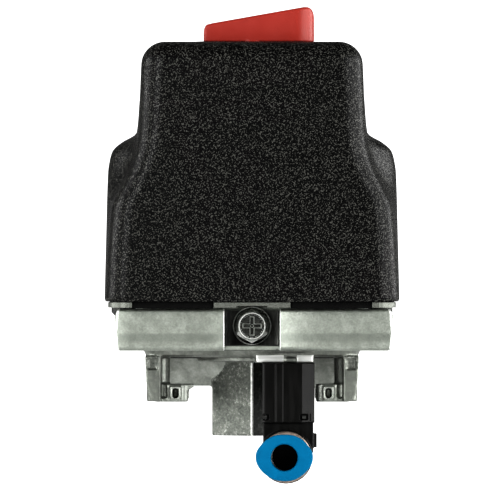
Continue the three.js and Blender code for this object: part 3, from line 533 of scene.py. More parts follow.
def rounded(outline, r, steps=4):
    """The closed outline with its corners turned into arcs, of radius r or a corner's own third value."""
    out = []
    count = len(outline)
    for i, corner in enumerate(outline):
        radius = corner[2] if len(corner) > 2 else r
        here = Vector(corner[:2])
        before = (Vector(outline[i - 1][:2]) - here).normalized()
        after = (Vector(outline[(i + 1) % count][:2]) - here).normalized()
        angle = before.angle(after)
        if radius <= 0 or angle > NEARLY_STRAIGHT:
            out.append(tuple(here))
            continue
        reach = radius / math.tan(angle / 2)
        start, end = here + before * reach, here + after * reach
        middle = here + (before + after).normalized() * (radius / math.sin(angle / 2))
        a0 = math.atan2(start.y - middle.y, start.x - middle.x)
        turn = math.atan2(end.y - middle.y, end.x - middle.x) - a0
        turn = (turn + math.pi) % (2 * math.pi) - math.pi
        for k in range(steps + 1):
            a = a0 + turn * k / steps
            out.append((middle.x + radius * math.cos(a), middle.y + radius * math.sin(a)))
    return out


def rounded_box(bm, x, y, z, r):
    """A box with its upright edges rounded by r and its ends a little chamfered."""
    def outline(inset, radius):
        x0, x1, y0, y1 = x[0] + inset, x[1] - inset, y[0] + inset, y[1] - inset
        return rounded([(x0, y0), (x1, y0), (x1, y1), (x0, y1)], radius, 3)

    e = min(r, (z[1] - z[0]) / 3) * 0.6
    wide, narrow = outline(0, r), outline(e, max(r - e, 0.02))
    levels = [(narrow, z[0]), (wide, z[0] + e), (wide, z[1] - e), (narrow, z[1])]
    capped_loft(bm, [[(*p, level) for p in ring] for ring, level in levels])


def combine(thing, others, how="DIFFERENCE"):
    """Cuts others from thing, or adds them to it, and removes them."""
    for other in others:
        modifier = thing.modifiers.new("combine", "BOOLEAN")
        modifier.operation, modifier.solver, modifier.object = how, "EXACT", other
    bpy.context.view_layer.update()
    baked(thing)
    for other in others:
        bpy.data.objects.remove(other)
    return thing


def smooth_between(table, x):
    """Interpolates a table of (x, y) with a curve that doesn't overshoot."""
    xs, ys = zip(*table)
    if x <= xs[0]:
        return ys[0]
    if x >= xs[-1]:
        return ys[-1]
    slopes = [(ys[i + 1] - ys[i]) / (xs[i + 1] - xs[i]) for i in range(len(xs) - 1)]
    tangents = [slopes[0]]
    for a, b in zip(slopes, slopes[1:]):
        tangents.append(0 if a * b <= 0 else 2 * a * b / (a + b))
    tangents.append(slopes[-1])
    k = max(i for i in range(len(xs) - 1) if xs[i] <= x)
    h = xs[k + 1] - xs[k]
    t = (x - xs[k]) / h
    return (
        (2 * t**3 - 3 * t**2 + 1) * ys[k] + (t**3 - 2 * t**2 + t) * h * tangents[k]
        + (3 * t**2 - 2 * t**3) * ys[k + 1] + (t**3 - t**2) * h * tangents[k + 1]
    )


# ---------- cover ----------
# Half-widths as (height above the rim, half-width): at mid depth, where the shoulders bulge, and at the
# front and rear ends, where they fall away in a long slope.
MID_WIDTH = [
    (0, 34.4), (14.5, 34.05), (30, 33.6), (33.3, 33.1), (35.1, 32.5), (36.1, 31.6),
    (37.4, 29.8), (38.3, 28.1), (39.2, 26.95), (46, 26.3), (55.3, 25.7), (60.3, 25.3),
]
END_WIDTH = [
    (0, 34.1), (14.5, 33.3), (22.2, 32.5), (26.2, 30.7), (31, 28.4), (35.6, 26.9),
    (39.2, 26.4), (55.3, 25.7), (60.3, 25.3),
]
SHOULDER_RUN = 11  # how far the slope takes to reach the mid width, front to back
END_DRAFT = 0.8  # how much the front and rear walls lean in over the whole height
CORNER_STEPS = 10
SLOPE_STEPS = 11


def cover_ring(height, inset):
    """One level outline of the cover, drawn in by an inset."""
    depth = COVER["half_depth"] - inset - END_DRAFT * height / COVER["height"]
    mid, end = (smooth_between(table, height) - inset for table in (MID_WIDTH, END_WIDTH))
    r = max(COVER["edge_r"] - inset, 0.5)
    quarter = []
    for i in range(CORNER_STEPS + 1):
        a = i / CORNER_STEPS * math.pi / 2
        quarter.append((end - r + r * math.sin(a), -depth + r - r * math.cos(a)))
    for i in range(1, SLOPE_STEPS + 1):
        t = i / SLOPE_STEPS
        quarter.append((end + (mid - end) * t * t * (3 - 2 * t), -depth + r + SHOULDER_RUN * t))
    right = quarter + [(x, -y) for x, y in reversed(quarter)]
    outline = right + [(-x, -y) for x, y in right]
    return [(x, y + COVER["y"], COVER["bottom"] + height) for x, y in outline]


def cover_skin(inset, top, round_r, levels):
    """Rings from the rim up, with the top edge rounded."""
    straight = top - round_r
    rings = [cover_ring(straight * i / levels, inset) for i in range(levels + 1)]
    for i in range(1, CORNER_STEPS + 1):
        a = i / CORNER_STEPS * math.pi / 2
        rings.append(cover_ring(straight + round_r * math.sin(a), inset + round_r * (1 - math.cos(a))))
    return rings


def circle_like(ring, r, z):
    """A circle about the knob's axis with one point for each point of a ring, in the same order."""
    points = []
    for x, y, _ in ring:
        a = math.atan2(y - KNOB["y"], x)
        points.append((r * math.cos(a), KNOB["y"] + r * math.sin(a), z))
    return points


def cover_shell():
    wall, height, bottom = COVER["wall"], COVER["height"], COVER["bottom"]
    roof = wall + 0.2
    top, ceiling = bottom + height, bottom + height - roof
    outside = cover_skin(0, height, COVER["top_r"], 90)
    outside[0] = cover_ring(0, 0.25)  # the rim's outer edge, a little chamfered
    inside = cover_skin(wall, height - roof, COVER["top_r"] - wall + 0.4, 40)
    dial = ((14.6, top), (14.2, top + 0.22), (13.0, top + 0.22), (12.6, top))
    bore = ((KNOB_BORE_R + 0.4, top), (KNOB_BORE_R, top - 0.4), (KNOB_BORE_R, ceiling))
    round_knob = [circle_like(outside[-1], r, z) for r, z in dial + bore]
    bm = bmesh.new()
    loft(bm, outside + round_knob + inside[::-1], closed=True)
    first_inside = (len(outside) + len(dial) + 1) * len(outside[0])
    for side in (-1, 1):
        screw_boss(bm, side)
    stiffening_ribs(bm)
    painted(bm, first_inside, 1)
    shell = piece("cover_shell", bm, "cover", sharp=50)
    shell.data.materials.append(inner_black())
    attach(shell, "cover")


def screw_boss(bm, side):
    """A hollow post under the roof for one of the cover's screws."""
    low, high, r, bore = COVER["bottom"] + 0.2, 50, 3, 1.6
    outline = [(bore, low), (r - 0.3, low), (r, low + 0.3), (r, high), (bore, high), (bore, high - 4)]
    spin(bm, outline, (side * COVER_SCREW[0], COVER_SCREW[1]), sides=32)


def stiffening_ribs(bm):
    """Thin ribs down the inside of the side walls."""
    for side in (-1, 1):
        for y in (-22, 26):
            x = sorted((side * 31.2, side * 32.6))
            rounded_box(bm, x, (y - 0.6, y + 0.6), (COVER["bottom"] + 3, 58), 0.3)


# ---------- selector knob ----------
def knob_outline(inset):
    """The grip seen from above: a square left end and a rounded right end; symmetrical about y."""
    half, left, right = KNOB["half_y"] - inset, KNOB["left"] + inset, KNOB["right"] - inset
    tip, corner = 4.6 - inset * 0.6, max(0.7 - inset, 0.1)
    quarter_turn = [i / CORNER_STEPS * math.pi / 2 for i in range(CORNER_STEPS + 1)]
    lower = [(left, 0.0)]
    for a in quarter_turn:
        lower.append((left + corner - corner * math.cos(a), -half + corner - corner * math.sin(a)))
    straight = 16
    start, end = left + corner, right - tip
    for i in range(1, straight):
        lower.append((start + (end - start) * i / straight, -half))
    for a in quarter_turn[:-1]:
        lower.append((right - tip + tip * math.sin(a), -half * math.cos(a) ** 0.75))
    lower.append((right, 0.0))
    return lower + [(x, -y) for x, y in reversed(lower[1:-1])]


def knob_top(x):
    """Height of the sloping top at x, with both ends rounded over."""
    left, right, low, high = (KNOB[k] for k in ("left", "right", "low_top", "high_top"))
    low_r, high_r = 1.3, 2.4
    slope = low + (high - low) * (x - left) / (right - high_r - left)
    for edge, r, sign in ((left, low_r, 1), (right, high_r, -1)):
        d = (x - edge) * sign
        if d < r:
            slope -= r - math.sqrt(max(r * r - (r - max(d, 0)) ** 2, 0))
    return min(slope, high)


def knob_grip():
    base = COVER["bottom"] + COVER["height"] + 0.2
    rings = []
    for z, inset in ((base, 0.3), (base + 0.3, 0.0), (base + 1.5, 0.0)):
        rings.append([(x, y + KNOB["y"], z) for x, y in knob_outline(inset)])
    edge_r, steps = 0.7, 6
    for i in range(steps + 1):
        a = i / steps * math.pi / 2
        inset, drop = edge_r * (1 - math.cos(a)), edge_r * (1 - math.sin(a))
        rings.append([(x, y + KNOB["y"], knob_top(x) - drop) for x, y in knob_outline(inset)])
    bm = bmesh.new()
    rows = loft(bm, rings)
    rung_cap(bm, rows[0])
    rung_cap(bm, rows[-1])
    low, high = base - 6.6, base + 0.5
    neck = [(3, low), (4.6, low), (4.8, low + 0.2), (4.8, high), (3, high)]
    spin(bm, neck, (0, KNOB["y"]))
    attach(piece("knob_grip", bm, "selector_knob", sharp=40), "knob")


# ---------- cord clamp ----------
def strap_outline():
    """Section of the strap in (y, z): rolled top edge, flat face, kicked-out lower lip."""
    front, top, bottom, t = CLAMP["front"], CLAMP["top"], CLAMP["bottom"], SHEET
    outer = [
        (front + 3, top, 0.3), (front, top, 0.8), (front, 24.4, 2.0), (front - 0.72, 20.9, 0.9),
        (front + 0.2, bottom, 0.6), (front + 3, bottom, 0.3),
    ]
    inner = [
        (front + 3, bottom + t, 0.3), (front + 0.6, bottom + t, 0.3), (front + t, 24.4, 0.8),
        (front + t, top - t, 0.3), (front + 3, top - t, 0.3),
    ]
    return rounded(outer + inner, 0.3, 5)


def drawn_in(outline, distance):
    """The closed outline with each point moved towards its inside."""
    count = len(outline)
    area = sum(a[0] * b[1] - b[0] * a[1] for a, b in zip(outline, outline[1:] + outline[:1]))
    out = []
    for i, (u, v) in enumerate(outline):
        before, after = Vector(outline[i - 1]), Vector(outline[(i + 1) % count])
        along = (after - before).normalized() * (distance if area > 0 else -distance)
        out.append((u - along.y, v + along.x))
    return out


def strap_end(side, z):
    """How far the strap reaches at a height: its face is a little longer than its lips."""
    upper, lower = 1.6, 2.2  # the heights over which the top and the bottom step in
    reach = CLAMP["right"] if side > 0 else -CLAMP["left"]
    above, below = z - (CLAMP["top"] - upper), CLAMP["bottom"] + lower - z
    return reach - 0.7 * max(0, above / upper) - 0.6 * max(0, below / lower)


def clamp_sheet():
    """The strap's two halves, each from the recess to its end, and the recess between them."""
    near = CLAMP["recess"]
    stations = [  # (inset of the section, distance from the middle, or back from the end if 0 or less)
        (0.22, near), (0.07, near + 0.07), (0.0, near + 0.22), (0.0, 16), (0.0, 28), (0.0, -0.5),
        (0.07, -0.2), (0.22, 0),
    ]
    last = len(stations) - 2
    bm = bmesh.new()
    for side in (-1, 1):
        rings = []
        for inset, reach in stations:
            section = drawn_in(strap_outline(), inset)
            if reach <= 0:
                rings.append([(side * (strap_end(side, z) + reach), y, z) for y, z in section])
            else:
                rings.append([(side * reach, y, z) for y, z in section])
        before = len(bm.faces)
        capped_loft(bm, rings)
        # a painted highlight, with some edge wear, on the faces at both ends of each half
        bm.faces.ensure_lookup_table()
        for index, face in enumerate(bm.faces[before:]):
            if index // len(rings[0]) in (0, 1, last - 1, last):
                face.material_index = 2
    sheet = piece("clamp_sheet", bm, "clamp_bar", sharp=40, finish=zinc_sheet("bar_zinc", painted_bend_shade=23.4))
    # the second finish paints the recess's shade
    sheet.data.materials.append(recess_shade_zinc())
    sheet.data.materials.append(EDGE_WEAR_AND_HIGHLIGHT)
    joined(sheet, recess_channel())
    smoothed(sheet, 40)
    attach(sheet, "cord_clamp")


def recess_channel():
    """The sheet stepped back behind the screw, with its hole, and the lip that runs on below it."""
    r, t, rear, front = CLAMP["recess"], SHEET, CLAMP["recess_rear"], CLAMP["front"]
    bottom, lip_front = CLAMP["bottom"], CLAMP["front"] + 0.35
    low, high = bottom + 0.7, CLAMP["top"] - 0.5
    path = rounded(
        [(-r - t, lip_front, 0.25), (-r - t, rear, 1.0), (r + t, rear, 1.0), (r + t, lip_front, 0.25),
         (r, front + 0.1, 0.5), (r, rear - t, 0.6), (-r, rear - t, 0.6), (-r, front + 0.1, 0.5)], 0.3, 5,
    )
    bm = bmesh.new()
    capped_loft(bm, [[(x, y, z) for x, y in path] for z in (low, (low + high) / 2, high)])
    hole, hole_r = bmesh.new(), 2.3
    through = [(0.01, rear - 3), (hole_r, rear - 3), (hole_r, rear + 1), (0.01, rear + 1)]
    spin(hole, through, (0, CLAMP_SCREW_Z), "y", 32)
    channel = combine(built(bm), [built(hole)])
    low, high = bottom, bottom + t
    lip = rounded([(lip_front, low, 0.5), (rear, low, 0.2), (rear, high, 0.2), (lip_front, high, 0.3)], 0.3)
    bm = bmesh.new()
    capped_loft(bm, [[(x, y, z) for y, z in lip] for x in (-r - 0.6, 0, r + 0.6)])
    joined(channel, built(bm))
    # all but the lip's front edge gets the painted recess shade
    for face in channel.data.polygons:
        x, y, z = face.center / M
        lip_edge = face.normal.y < -0.6 and z < high + 0.1 and y < front + 1
        face.material_index = 0 if lip_edge else 1
    return channel


SCREW_SEAT = CLAMP["recess_rear"] - SHEET - 0.1
HEAD_HEIGHT = 3.75
CROSS = {"half_width": 0.6, "half_length": 2.25, "floor": 2.1, "throat_floor": 1.7, "above": 4.3}
# Turned outlines of the clamp screw as (radius, height above its seat).
WASHER_OUTLINE = [(0.6, 0), (4.3, 0), (4.5, 0.2), (4.45, 0.6), (4.2, 0.8), (3.6, 0.9), (0.6, 0.9)]
CHAMFER_OUTLINE = [(0.001, 0.3), (5.2, 0.3), (5.2, 2.2), (3.25, HEAD_HEIGHT), (0.001, HEAD_HEIGHT)]
RIM_OUTLINE = [
    (0.5, 3.3), (3.3, 3.3), (3.35, 3.6), (3.3, 3.95), (3.1, 4.15), (2.85, 4.15), (2.65, 3.95),
    (2.55, 3.72), (0.5, 3.66),
]


def screw_y(height):
    return SCREW_SEAT - height


def screw_turning(outline):
    bm = bmesh.new()
    spin(bm, [(r, screw_y(h)) for r, h in outline], (0, CLAMP_SCREW_Z), "y", 96)
    return bm


def screw_prism(sections):
    """A loft along the screw's axis through sections, each (height, outline)."""
    bm = bmesh.new()
    rings = [[(u, screw_y(h), CLAMP_SCREW_Z + v) for u, v in outline] for h, outline in sections]
    capped_loft(bm, rings)
    return built(bm)


def hexagonal_block():
    """The hexagon, 7 mm across its flats, with the top of its corners turned off."""
    corner, angles = 7 / math.sqrt(3), [math.pi / 2 + i * math.pi / 3 for i in range(6)]
    outline = rounded([(corner * math.cos(a), corner * math.sin(a)) for a in angles], 0.25, 3)
    block = screw_prism([(0.5, outline), (HEAD_HEIGHT, outline)])
    return combine(block, [built(screw_turning(CHAMFER_OUTLINE))], "INTERSECT")


def cross_recess():
    """Cutters for the sunk cross: two tapered slots and the square throat between them."""
    short, long, above = CROSS["half_width"], CROSS["half_length"], CROSS["above"]
    cutters = []
    for wide, tall in ((short, long), (long, short)):
        mouth = [(-wide, -tall), (wide, -tall), (wide, tall), (-wide, tall)]
        floor = [(u - math.copysign(0.24, u), v - math.copysign(0.24, v)) for u, v in mouth]
        flared = [(u * 1.02, v * 1.02) for u, v in mouth]
        cutters.append(screw_prism([(CROSS["floor"], floor), (above, flared)]))
    throat = [[(0, -r), (r, 0), (0, r), (-r, 0)] for r in (0.35, 1.4)]
    cutters.append(screw_prism([(CROSS["throat_floor"], throat[0]), (above, throat[1])]))
    return cutters


def clamp_screw():
    """Hexagon washer-head screw with a raised rim round a sunk cross recess."""
    head = piece("screw_head", screw_turning(WASHER_OUTLINE), "clamp_screw", sharp=30, finish=screw_steel())
    block = hexagonal_block()
    combine(head, [block, built(screw_turning(RIM_OUTLINE))], "UNION")
    combine(head, cross_recess())
    bevel = head.modifiers.new("worn_edges", "BEVEL")
    bevel.width, bevel.segments = 0.1 * M, 2
    bevel.limit_method, bevel.angle_limit = "ANGLE", math.radians(40)
    baked(head)
    shank = bmesh.new()
    threaded(shank, CLAMP_SCREW_Z, SCREW_SEAT - 0.2, PAN_FRONT + 4.8)
    joined(head, built(shank))
    smoothed(head, 38)
    for finish in (EDGE_WEAR_AND_HIGHLIGHT, FINISHES["steel"], scuff_and_highlight_edge()):
        head.data.materials.append(finish)
    for face in head.data.polygons:
        face.material_index = screw_finish(face)
    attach(head, "clamp_fastener")


def screw_finish(face):
    """Which of the screw's four finishes a face has, by its distance from the axis and its height; the dark
    one stands for the shaded flats and the others are painted highlights, partly wear and scuffs.
    """
    dark, wear_and_highlight, plated, scuff_and_highlight = range(4)
    r = math.hypot(face.center.x / M, face.center.z / M - CLAMP_SCREW_Z)
    height = SCREW_SEAT - face.center.y / M
    on_washer = 4.12 < r and 0.3 < height
    on_cross = r < 2.6 and height > 1.7 and abs(face.normal.y) < 0.93
    on_chamfer = 3.3 < r < 4.1 and 0.9 < height < 3.8 and abs(face.normal.y) < 0.95
    # painted highlights on the cross's walls, the washer's edge and the chamfer's downward faces
    if on_cross or on_washer or (on_chamfer and face.normal.z < -0.25):
        return scuff_and_highlight
    if height > 3.85 and 2.8 < r < 3.2:
        return wear_and_highlight  # the raised rim's top, with wear and a painted highlight
    # the chamfer's brighter plating is a painted highlight
    return plated if on_chamfer else dark


def threaded(bm, z, start, end):
    """An M4 screw thread along Y from start to end, closed at both ends."""
    major, pitch, depth, sides, per_turn = 1.95, 0.7, 0.38, 24, 6
    length = end - start
    steps = int(length / pitch * per_turn)
    rings = []
    for k in range(steps + 1):
        t = k / steps
        fade = min(1, t * 12, (1 - t) * 12)
        taper = 1 if t < 0.97 else 0.85
        ring = []
        for i in range(sides):
            a = 2 * math.pi * i / sides
            phase = (t * length / pitch + i / sides) % 1.0
            r = (major - depth * fade * (1 - abs(2 * phase - 1))) * taper
            ring.append((r * math.cos(a), start + length * t, z + r * math.sin(a)))
        rings.append(ring)
    capped_loft(bm, rings)


def joined(thing, other):
    """Adds other's mesh to thing's, without cutting either."""
    bm = bmesh.new()
    bm.from_mesh(thing.data)
    bm.from_mesh(other.data)
    bm.to_mesh(thing.data)
    bm.free()
    bpy.data.objects.remove(other)


# ---------- castings and mouldings made from the solids ----------
def softened(name, node, voxel, rounds):
    """A copy of a CAD solid remeshed finely and relaxed, so that its edges turn soft as on a casting."""
    mesh = frame["nodes"][node].data.copy()
    mesh.materials.clear()
    thing = placed(name, mesh)
    remesh = thing.modifiers.new("remesh", "REMESH")
    remesh.mode, remesh.voxel_size, remesh.adaptivity = "VOXEL", voxel * M, 0.0
    relax = thing.modifiers.new("relax", "SMOOTH")
    relax.factor, relax.iterations = 0.5, rounds
    bpy.context.view_layer.update()
    baked(thing)
    thing.data.shade_smooth()
    standing_for(thing, node)
    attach(thing, body_with[node])
    return thing


def flange_skin(casting):
    """Gives the casting's cut pads and rubbed faces their own finishes, and paints highlights, shade and
    light on others.
    """
    # a lighter copy of the cast finish, which paints light on some faces
    pale = die_cast("painted_light_cast", "727570", "878a84", "9c9f99")
    for finish in (machined_zinc(), rubbed_cast(), painted_shade_cast(), EDGE_WEAR_AND_HIGHLIGHT, pale):
        casting.data.materials.append(finish)
    for face in casting.data.polygons:
        face.material_index = flange_finish(face)


def flange_finish(face):
    """Which of the flange's six finishes a face has, by where it is and which way it faces; some faces get
    painted highlight, shade and light.
    """
    plain, cut, rubbed, painted_shade, wear_and_highlight, pale = range(6)
    x, y, z = face.center / M
    facing_front = face.normal.y < -0.4
    below_pads = z < FLANGE["pad_low"]
    if FLANGE["pad_low"] < z < FLANGE["pad_high"] and y < FLANGE["pad_y"] and face.normal.y < -0.5:
        if any(left < x < right for left, right in FLANGE["pads"]):
            return cut  # the two pads above the valve
    if below_pads and y < FLANGE["corner_y"] and abs(x) < 0.3:
        return wear_and_highlight  # the boss's front corner, a painted highlight line
    if z < FLANGE["pad_low"] + 0.3 and y < -4 and -FLANGE["boss_half_x"] < x < 0 and facing_front:
        # painted light: a pale patch stands for the curve where the cross wall runs into the boss
        web_x, web_z, web_r = FLANGE["web"]
        return pale if math.hypot(x - web_x, z - web_z) < web_r else rubbed
    if below_pads and y < -4.95 and 0 < x < FLANGE["boss_half_x"] and facing_front:
        return painted_shade  # painted shade and dark reflection on the boss's side behind the valve
    if 18.2 < z < 19.3 and abs(y) < 9 and abs(x) < 19.7 and abs(face.normal.y) > 0.4:
        return painted_shade  # painted shadow below the rim
    if 19.6 < abs(x) < 21.6 and abs(y) < 20 and z < 18.2:
        return pale  # painted light in the pockets inside the rails
    if 21.7 < abs(x) < 24.9 and 15.8 < z < 19 and facing_front:
        return rubbed  # the rails' end pads
    if abs(x) < 19.6 and 8.5 < z < 18.2 and facing_front:
        return pale  # painted light on the cross wall
    return plain


# ---------- unloader valve ----------
def slot_floor(housing):
    """Closes the clip's slots a little way in, so that no light comes through them."""
    bm = bmesh.new()
    x, y = (VALVE["x"] - 5.4, VALVE["x"] + 5.4), (VALVE["front"] + 1.6, VALVE["rear"] - 1)
    rounded_box(bm, x, y, (3.8, 5.6), 0.2)
    joined(housing, built(bm))


def barrel_top(barrel):
    """Lifts the outlet barrel's seat so that it meets the housing without a gap."""
    for vertex in barrel.data.vertices:
        if vertex.co.z > (VALVE["bottom"] - 0.4) * M and vertex.co.y > -30 * M:
            vertex.co.z += 0.25 * M


def outlet_sleeve():
    x, z = SLEEVE
    section = [
        (4.7, -32.6), (5.8, -32.6), (5.95, -32.8), (5.95, -33.3), (5.85, -33.4), (5.95, -33.5),
        (5.95, -34.1), (5.7, -34.4), (4.85, -34.4), (4.7, -34.2),
    ]
    bm = bmesh.new()
    spin(bm, section, (x, z), "y", 96)
    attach(piece("outlet_sleeve_ring", bm, "outlet_sleeve", finish=sleeve_metal()), "base")


# The release ring's outline from top to bottom on one side, about the tube's axis.
RING_SIDE = [
    (0, 5.35), (2.15, 5.15), (3.9, 4.35), (5.1, 3.3), (6.35, 1.6), (6.65, 0.05), (6.35, -1.45), (5.5, -2.8),
    (4.25, -4.0), (2.75, -4.95), (1.45, -5.35), (0, -5.45),
]


def closed_curve(points, per_span=8):
    """A Catmull-Rom curve through a closed list of points."""
    out, count = [], len(points)
    for i in range(count):
        p0, p1, p2, p3 = (Vector(points[(i + k) % count]) for k in (-1, 0, 1, 2))
        for s in range(per_span):
            t = s / per_span
            square, cube = 2 * p0 - 5 * p1 + 4 * p2 - p3, 3 * p1 - p0 - 3 * p2 + p3
            out.append(0.5 * (2 * p1 + (p2 - p0) * t + square * t * t + cube * t**3))
    return out


def release_ring():
    x, z = RING
    outline = closed_curve(RING_SIDE + [(-a, b) for a, b in reversed(RING_SIDE[1:-1])])

    def circle(r):
        return [Vector((r * math.cos(a), r * math.sin(a))) for a in (math.atan2(p.y, p.x) for p in outline)]

    def shrunk(d):
        return [p * (1 - d / p.length) for p in outline]

    levels = [
        (circle(3.1), -31.6), (circle(3.1), -37.35), (circle(3.3), -37.6), (shrunk(0.5), -37.6),
        (shrunk(0.12), -37.5), (shrunk(0.0), -37.2), (shrunk(0.0), -35.9), (shrunk(0.25), -35.6),
        (circle(4.1), -35.6), (circle(3.95), -35.4), (circle(3.95), -31.7), (circle(3.7), -31.4),
        (circle(3.3), -31.4),
    ]
    bm = bmesh.new()
    loft(bm, [[(x + p.x, y, z + p.y) for p in ring] for ring, y in levels], closed=True)
    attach(piece("release_ring_moulding", bm, "release_ring", sharp=45), "ring")


# ---------- springs ----------
def spring(node, x, y, low, high, coil_r, wire_r, turns, seats=None):
    """A coil spring with closed ends; with seats it is made as a lower and an upper half, which are not
    attached to the bodies that seats names.
    """
    sides, per_turn = 12, 40
    bottom, top = low + wire_r, high - wire_r
    dead = 0.9  # turns at each end that lie almost closed
    total = turns + 2 * dead
    rise = 2 * wire_r * dead * 0.92
    rings = []
    for k in range(int(total * per_turn) + 1):
        turn = k / per_turn
        if turn < dead:
            z = bottom + rise * turn / dead
        elif turn > total - dead:
            z = top - rise * (total - turn) / dead
        else:
            z = bottom + rise + (top - bottom - 2 * rise) * (turn - dead) / (total - 2 * dead)
        a = 2 * math.pi * turn
        out = Vector((math.cos(a), math.sin(a), 0))
        centre = Vector((x, y, z)) + out * coil_r
        ring = []
        for i in range(sides):
            b = 2 * math.pi * i / sides
            ring.append(centre + out * (wire_r * math.cos(b)) + Vector((0, 0, wire_r * math.sin(b))))
        rings.append(ring)
    if not seats:
        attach(coil_piece(node + "_wire", rings, node), body_with[node])
        return
    half, middle = len(rings) // 2, (x * M, y * M, (low + high) / 2 * M)
    lower = ("_lower_coils", rings[: half + 1], low)
    upper = ("_upper_coils", rings[half:], high)
    for (name, part, z), seat in zip((lower, upper), seats):
        coil = coil_piece(node + name, part, node)
        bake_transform(coil)


def coil_piece(name, rings, node):
    bm = bmesh.new()
    capped_loft(bm, rings)
    return piece(name, bm, node, finish=SPRING_STEEL)


# ---------- the rest of the CAD nodes ----------
def smooth_by_angle(limit):
    """A geometry-nodes group that shades smooth, except across edges sharper than the limit."""
    group = bpy.data.node_groups.new("smooth_by_angle", "GeometryNodeTree")
    group.interface.new_socket("Geometry", in_out="INPUT", socket_type="NodeSocketGeometry")
    group.interface.new_socket("Geometry", in_out="OUTPUT", socket_type="NodeSocketGeometry")
    add, link = group.nodes.new, group.links.new
    start, end = add("NodeGroupInput"), add("NodeGroupOutput")
    faces, edges = add("GeometryNodeSetShadeSmooth"), add("GeometryNodeSetShadeSmooth")
    angle, test = add("GeometryNodeInputMeshEdgeAngle"), add("FunctionNodeCompare")
    edges.domain = "EDGE"
    test.operation = "LESS_THAN"
    test.inputs["B"].default_value = math.radians(limit)
    flat_normals = add("GeometryNodeRemoveAttribute")  # the solids come with one normal to a facet
    flat_normals.inputs["Name"].default_value = "custom_normal"
    link(start.outputs[0], flat_normals.inputs["Geometry"])
    link(flat_normals.outputs["Geometry"], faces.inputs["Geometry"])
    link(faces.outputs[0], edges.inputs["Geometry"])
    link(angle.outputs["Unsigned Angle"], test.inputs["A"])
    link(test.outputs["Result"], edges.inputs["Shade Smooth"])
    link(edges.outputs[0], end.inputs[0])
    return group


def finish_node(node, shading):
    """Rounds a CAD node's edges a little and gives it its finish; its mesh stays as it is."""
    thing = frame["nodes"][node]
    thing.data.materials.clear()
    thing.data.materials.append(OWN_FINISH.get(node, FINISHES[slot_of[node]]))
    low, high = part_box(node)
    thinnest = min(b - a for a, b in zip(low, high)) / M
    flat = thing.modifiers.new("flat_faces", "DECIMATE")
    flat.decimate_type, flat.angle_limit = "DISSOLVE", math.radians(1)
    bevel = thing.modifiers.new("edges", "BEVEL")
    bevel.width, bevel.segments = min(0.18, thinnest * 0.12) * M, 2
    bevel.limit_method, bevel.angle_limit = "ANGLE", math.radians(42)
    smooth = thing.modifiers.new("smooth_by_angle", "NODES")
    smooth.node_group = shading


# ---------- studio ----------
def pale_floor(z, r):
    """A round sheet of pale paper, in metres; it can't be seen from below."""
    bm = bmesh.new()
    bmesh.ops.create_circle(bm, cap_ends=True, radius=r, segments=96)
    mesh = bpy.data.meshes.new("floor")
    bm.to_mesh(mesh)
    bm.free()
    floor = placed("floor", mesh)
    floor.location.z = z
    f = Finish("pale_paper", "f4f4f4", 0.9, specular=0.1)
    f.colours(f.noise(60), (0.3, "f3f3f3"), (0.7, "f6f6f6"))
    nodes, link = f.tree.nodes, f.tree.links.new
    seen = f.join(nodes.new("ShaderNodeLightPath").outputs["Is Camera Ray"], 0.55, "MULTIPLY")
    f.shader.inputs["Emission Color"].default_value = (1, 1, 1, 1)
    link(seen, f.shader.inputs["Emission Strength"])
    one_sided = nodes.new("ShaderNodeMixShader")
    link(nodes.new("ShaderNodeNewGeometry").outputs["Backfacing"], one_sided.inputs["Fac"])
    link(f.shader.outputs["BSDF"], one_sided.inputs[1])
    link(nodes.new("ShaderNodeBsdfTransparent").outputs["BSDF"], one_sided.inputs[2])
    link(one_sided.outputs["Shader"], nodes["Material Output"].inputs["Surface"])
    mesh.materials.append(f.material)


def softbox(name, azimuth, size, power):
    """A soft light in metres and watts, its azimuth counted from the camera's side towards +X."""
    far, height, middle = 0.95, 0.12, Vector((0, 0, 0.045))
    lamp = bpy.data.lights.new(name, "AREA")
    lamp.shape, lamp.size, lamp.size_y, lamp.energy = "RECTANGLE", size[0], size[1], power
    thing = placed(name, lamp)
    turn = math.radians(azimuth)
    thing.location = (far * math.sin(turn), -far * math.cos(turn), height)
    thing.rotation_mode = "QUATERNION"
    thing.rotation_quaternion = (middle - thing.location).to_track_quat("-Z", "Y")


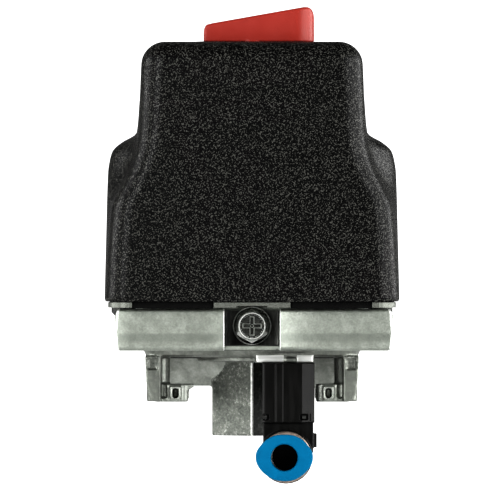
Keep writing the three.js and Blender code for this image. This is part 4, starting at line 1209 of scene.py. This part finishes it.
def studio():
    """A pale floor, white surroundings, two tall softboxes in front and a light at each side."""
    pale_floor(-0.06, 1.3)
    softbox("left_softbox", -32, (0.36, 1.0), 11.5)
    softbox("right_softbox", 58, (0.9, 1.0), 19.5)
    softbox("left_side_light", -88, (0.6, 0.9), 12)
    softbox("right_side_light", 105, (0.6, 0.9), 11)
    world = bpy.data.worlds.new("studio")
    bpy.context.scene.world = world
    world.use_nodes = True
    nodes, link = world.node_tree.nodes, world.node_tree.links.new
    lighting, seen = nodes["Background"], nodes.new("ShaderNodeBackground")
    for background, strength in ((lighting, 0.2), (seen, 1.1)):
        background.inputs["Color"].default_value = (1, 1, 1, 1)
        background.inputs["Strength"].default_value = strength
    choice = nodes.new("ShaderNodeMixShader")
    link(nodes.new("ShaderNodeLightPath").outputs["Is Camera Ray"], choice.inputs["Fac"])
    link(lighting.outputs["Background"], choice.inputs[1])
    link(seen.outputs["Background"], choice.inputs[2])
    link(choice.outputs["Shader"], nodes["World Output"].inputs["Surface"])


def camera():
    """Square-on from the front at mid height, with a long lens."""
    distance, width = 2.0, 0.1171  # metres; the width is what the frame takes in at that distance
    film = 36
    lens = bpy.data.cameras.new("camera")
    lens.sensor_width, lens.lens = film, film * distance / width
    lens.clip_start, lens.clip_end = 0.05, 20
    thing = placed("camera", lens)
    thing.location = (-0.00047, -0.020 - distance, 0.04375)
    thing.rotation_euler = (math.pi / 2, 0, 0)
    bpy.context.scene.camera = thing
    bpy.context.scene.view_settings.view_transform = "Standard"
    bpy.context.scene.view_settings.look = "High Contrast"


camera()
studio()
shading = smooth_by_angle(34)
for name in frame["nodes"]:
    finish_node(name, shading)
cover_shell()
knob_grip()
clamp_sheet()
clamp_screw()
flange_skin(softened("flange_casting", "inlet_flange", 0.28, 3))
slot_floor(softened("valve_housing", "valve_body", 0.16, 2))
barrel_top(softened("valve_barrel", "valve_outlet", 0.16, 2))
outlet_sleeve()
release_ring()
spring("range_spring", 0, 0, 30.0, 60.2, 8.2, 1.1, 4.2, seats=("lever", "range_follower"))
spring("differential_spring", 0, -14.5, 30.0, 57.7, 3.2, 0.6, 8, seats=("lever", "differential_follower"))
spring("valve_spring", VALVE["x"], VALVE["y"], 4.5, 10.5, 2.5, 0.35, 3)
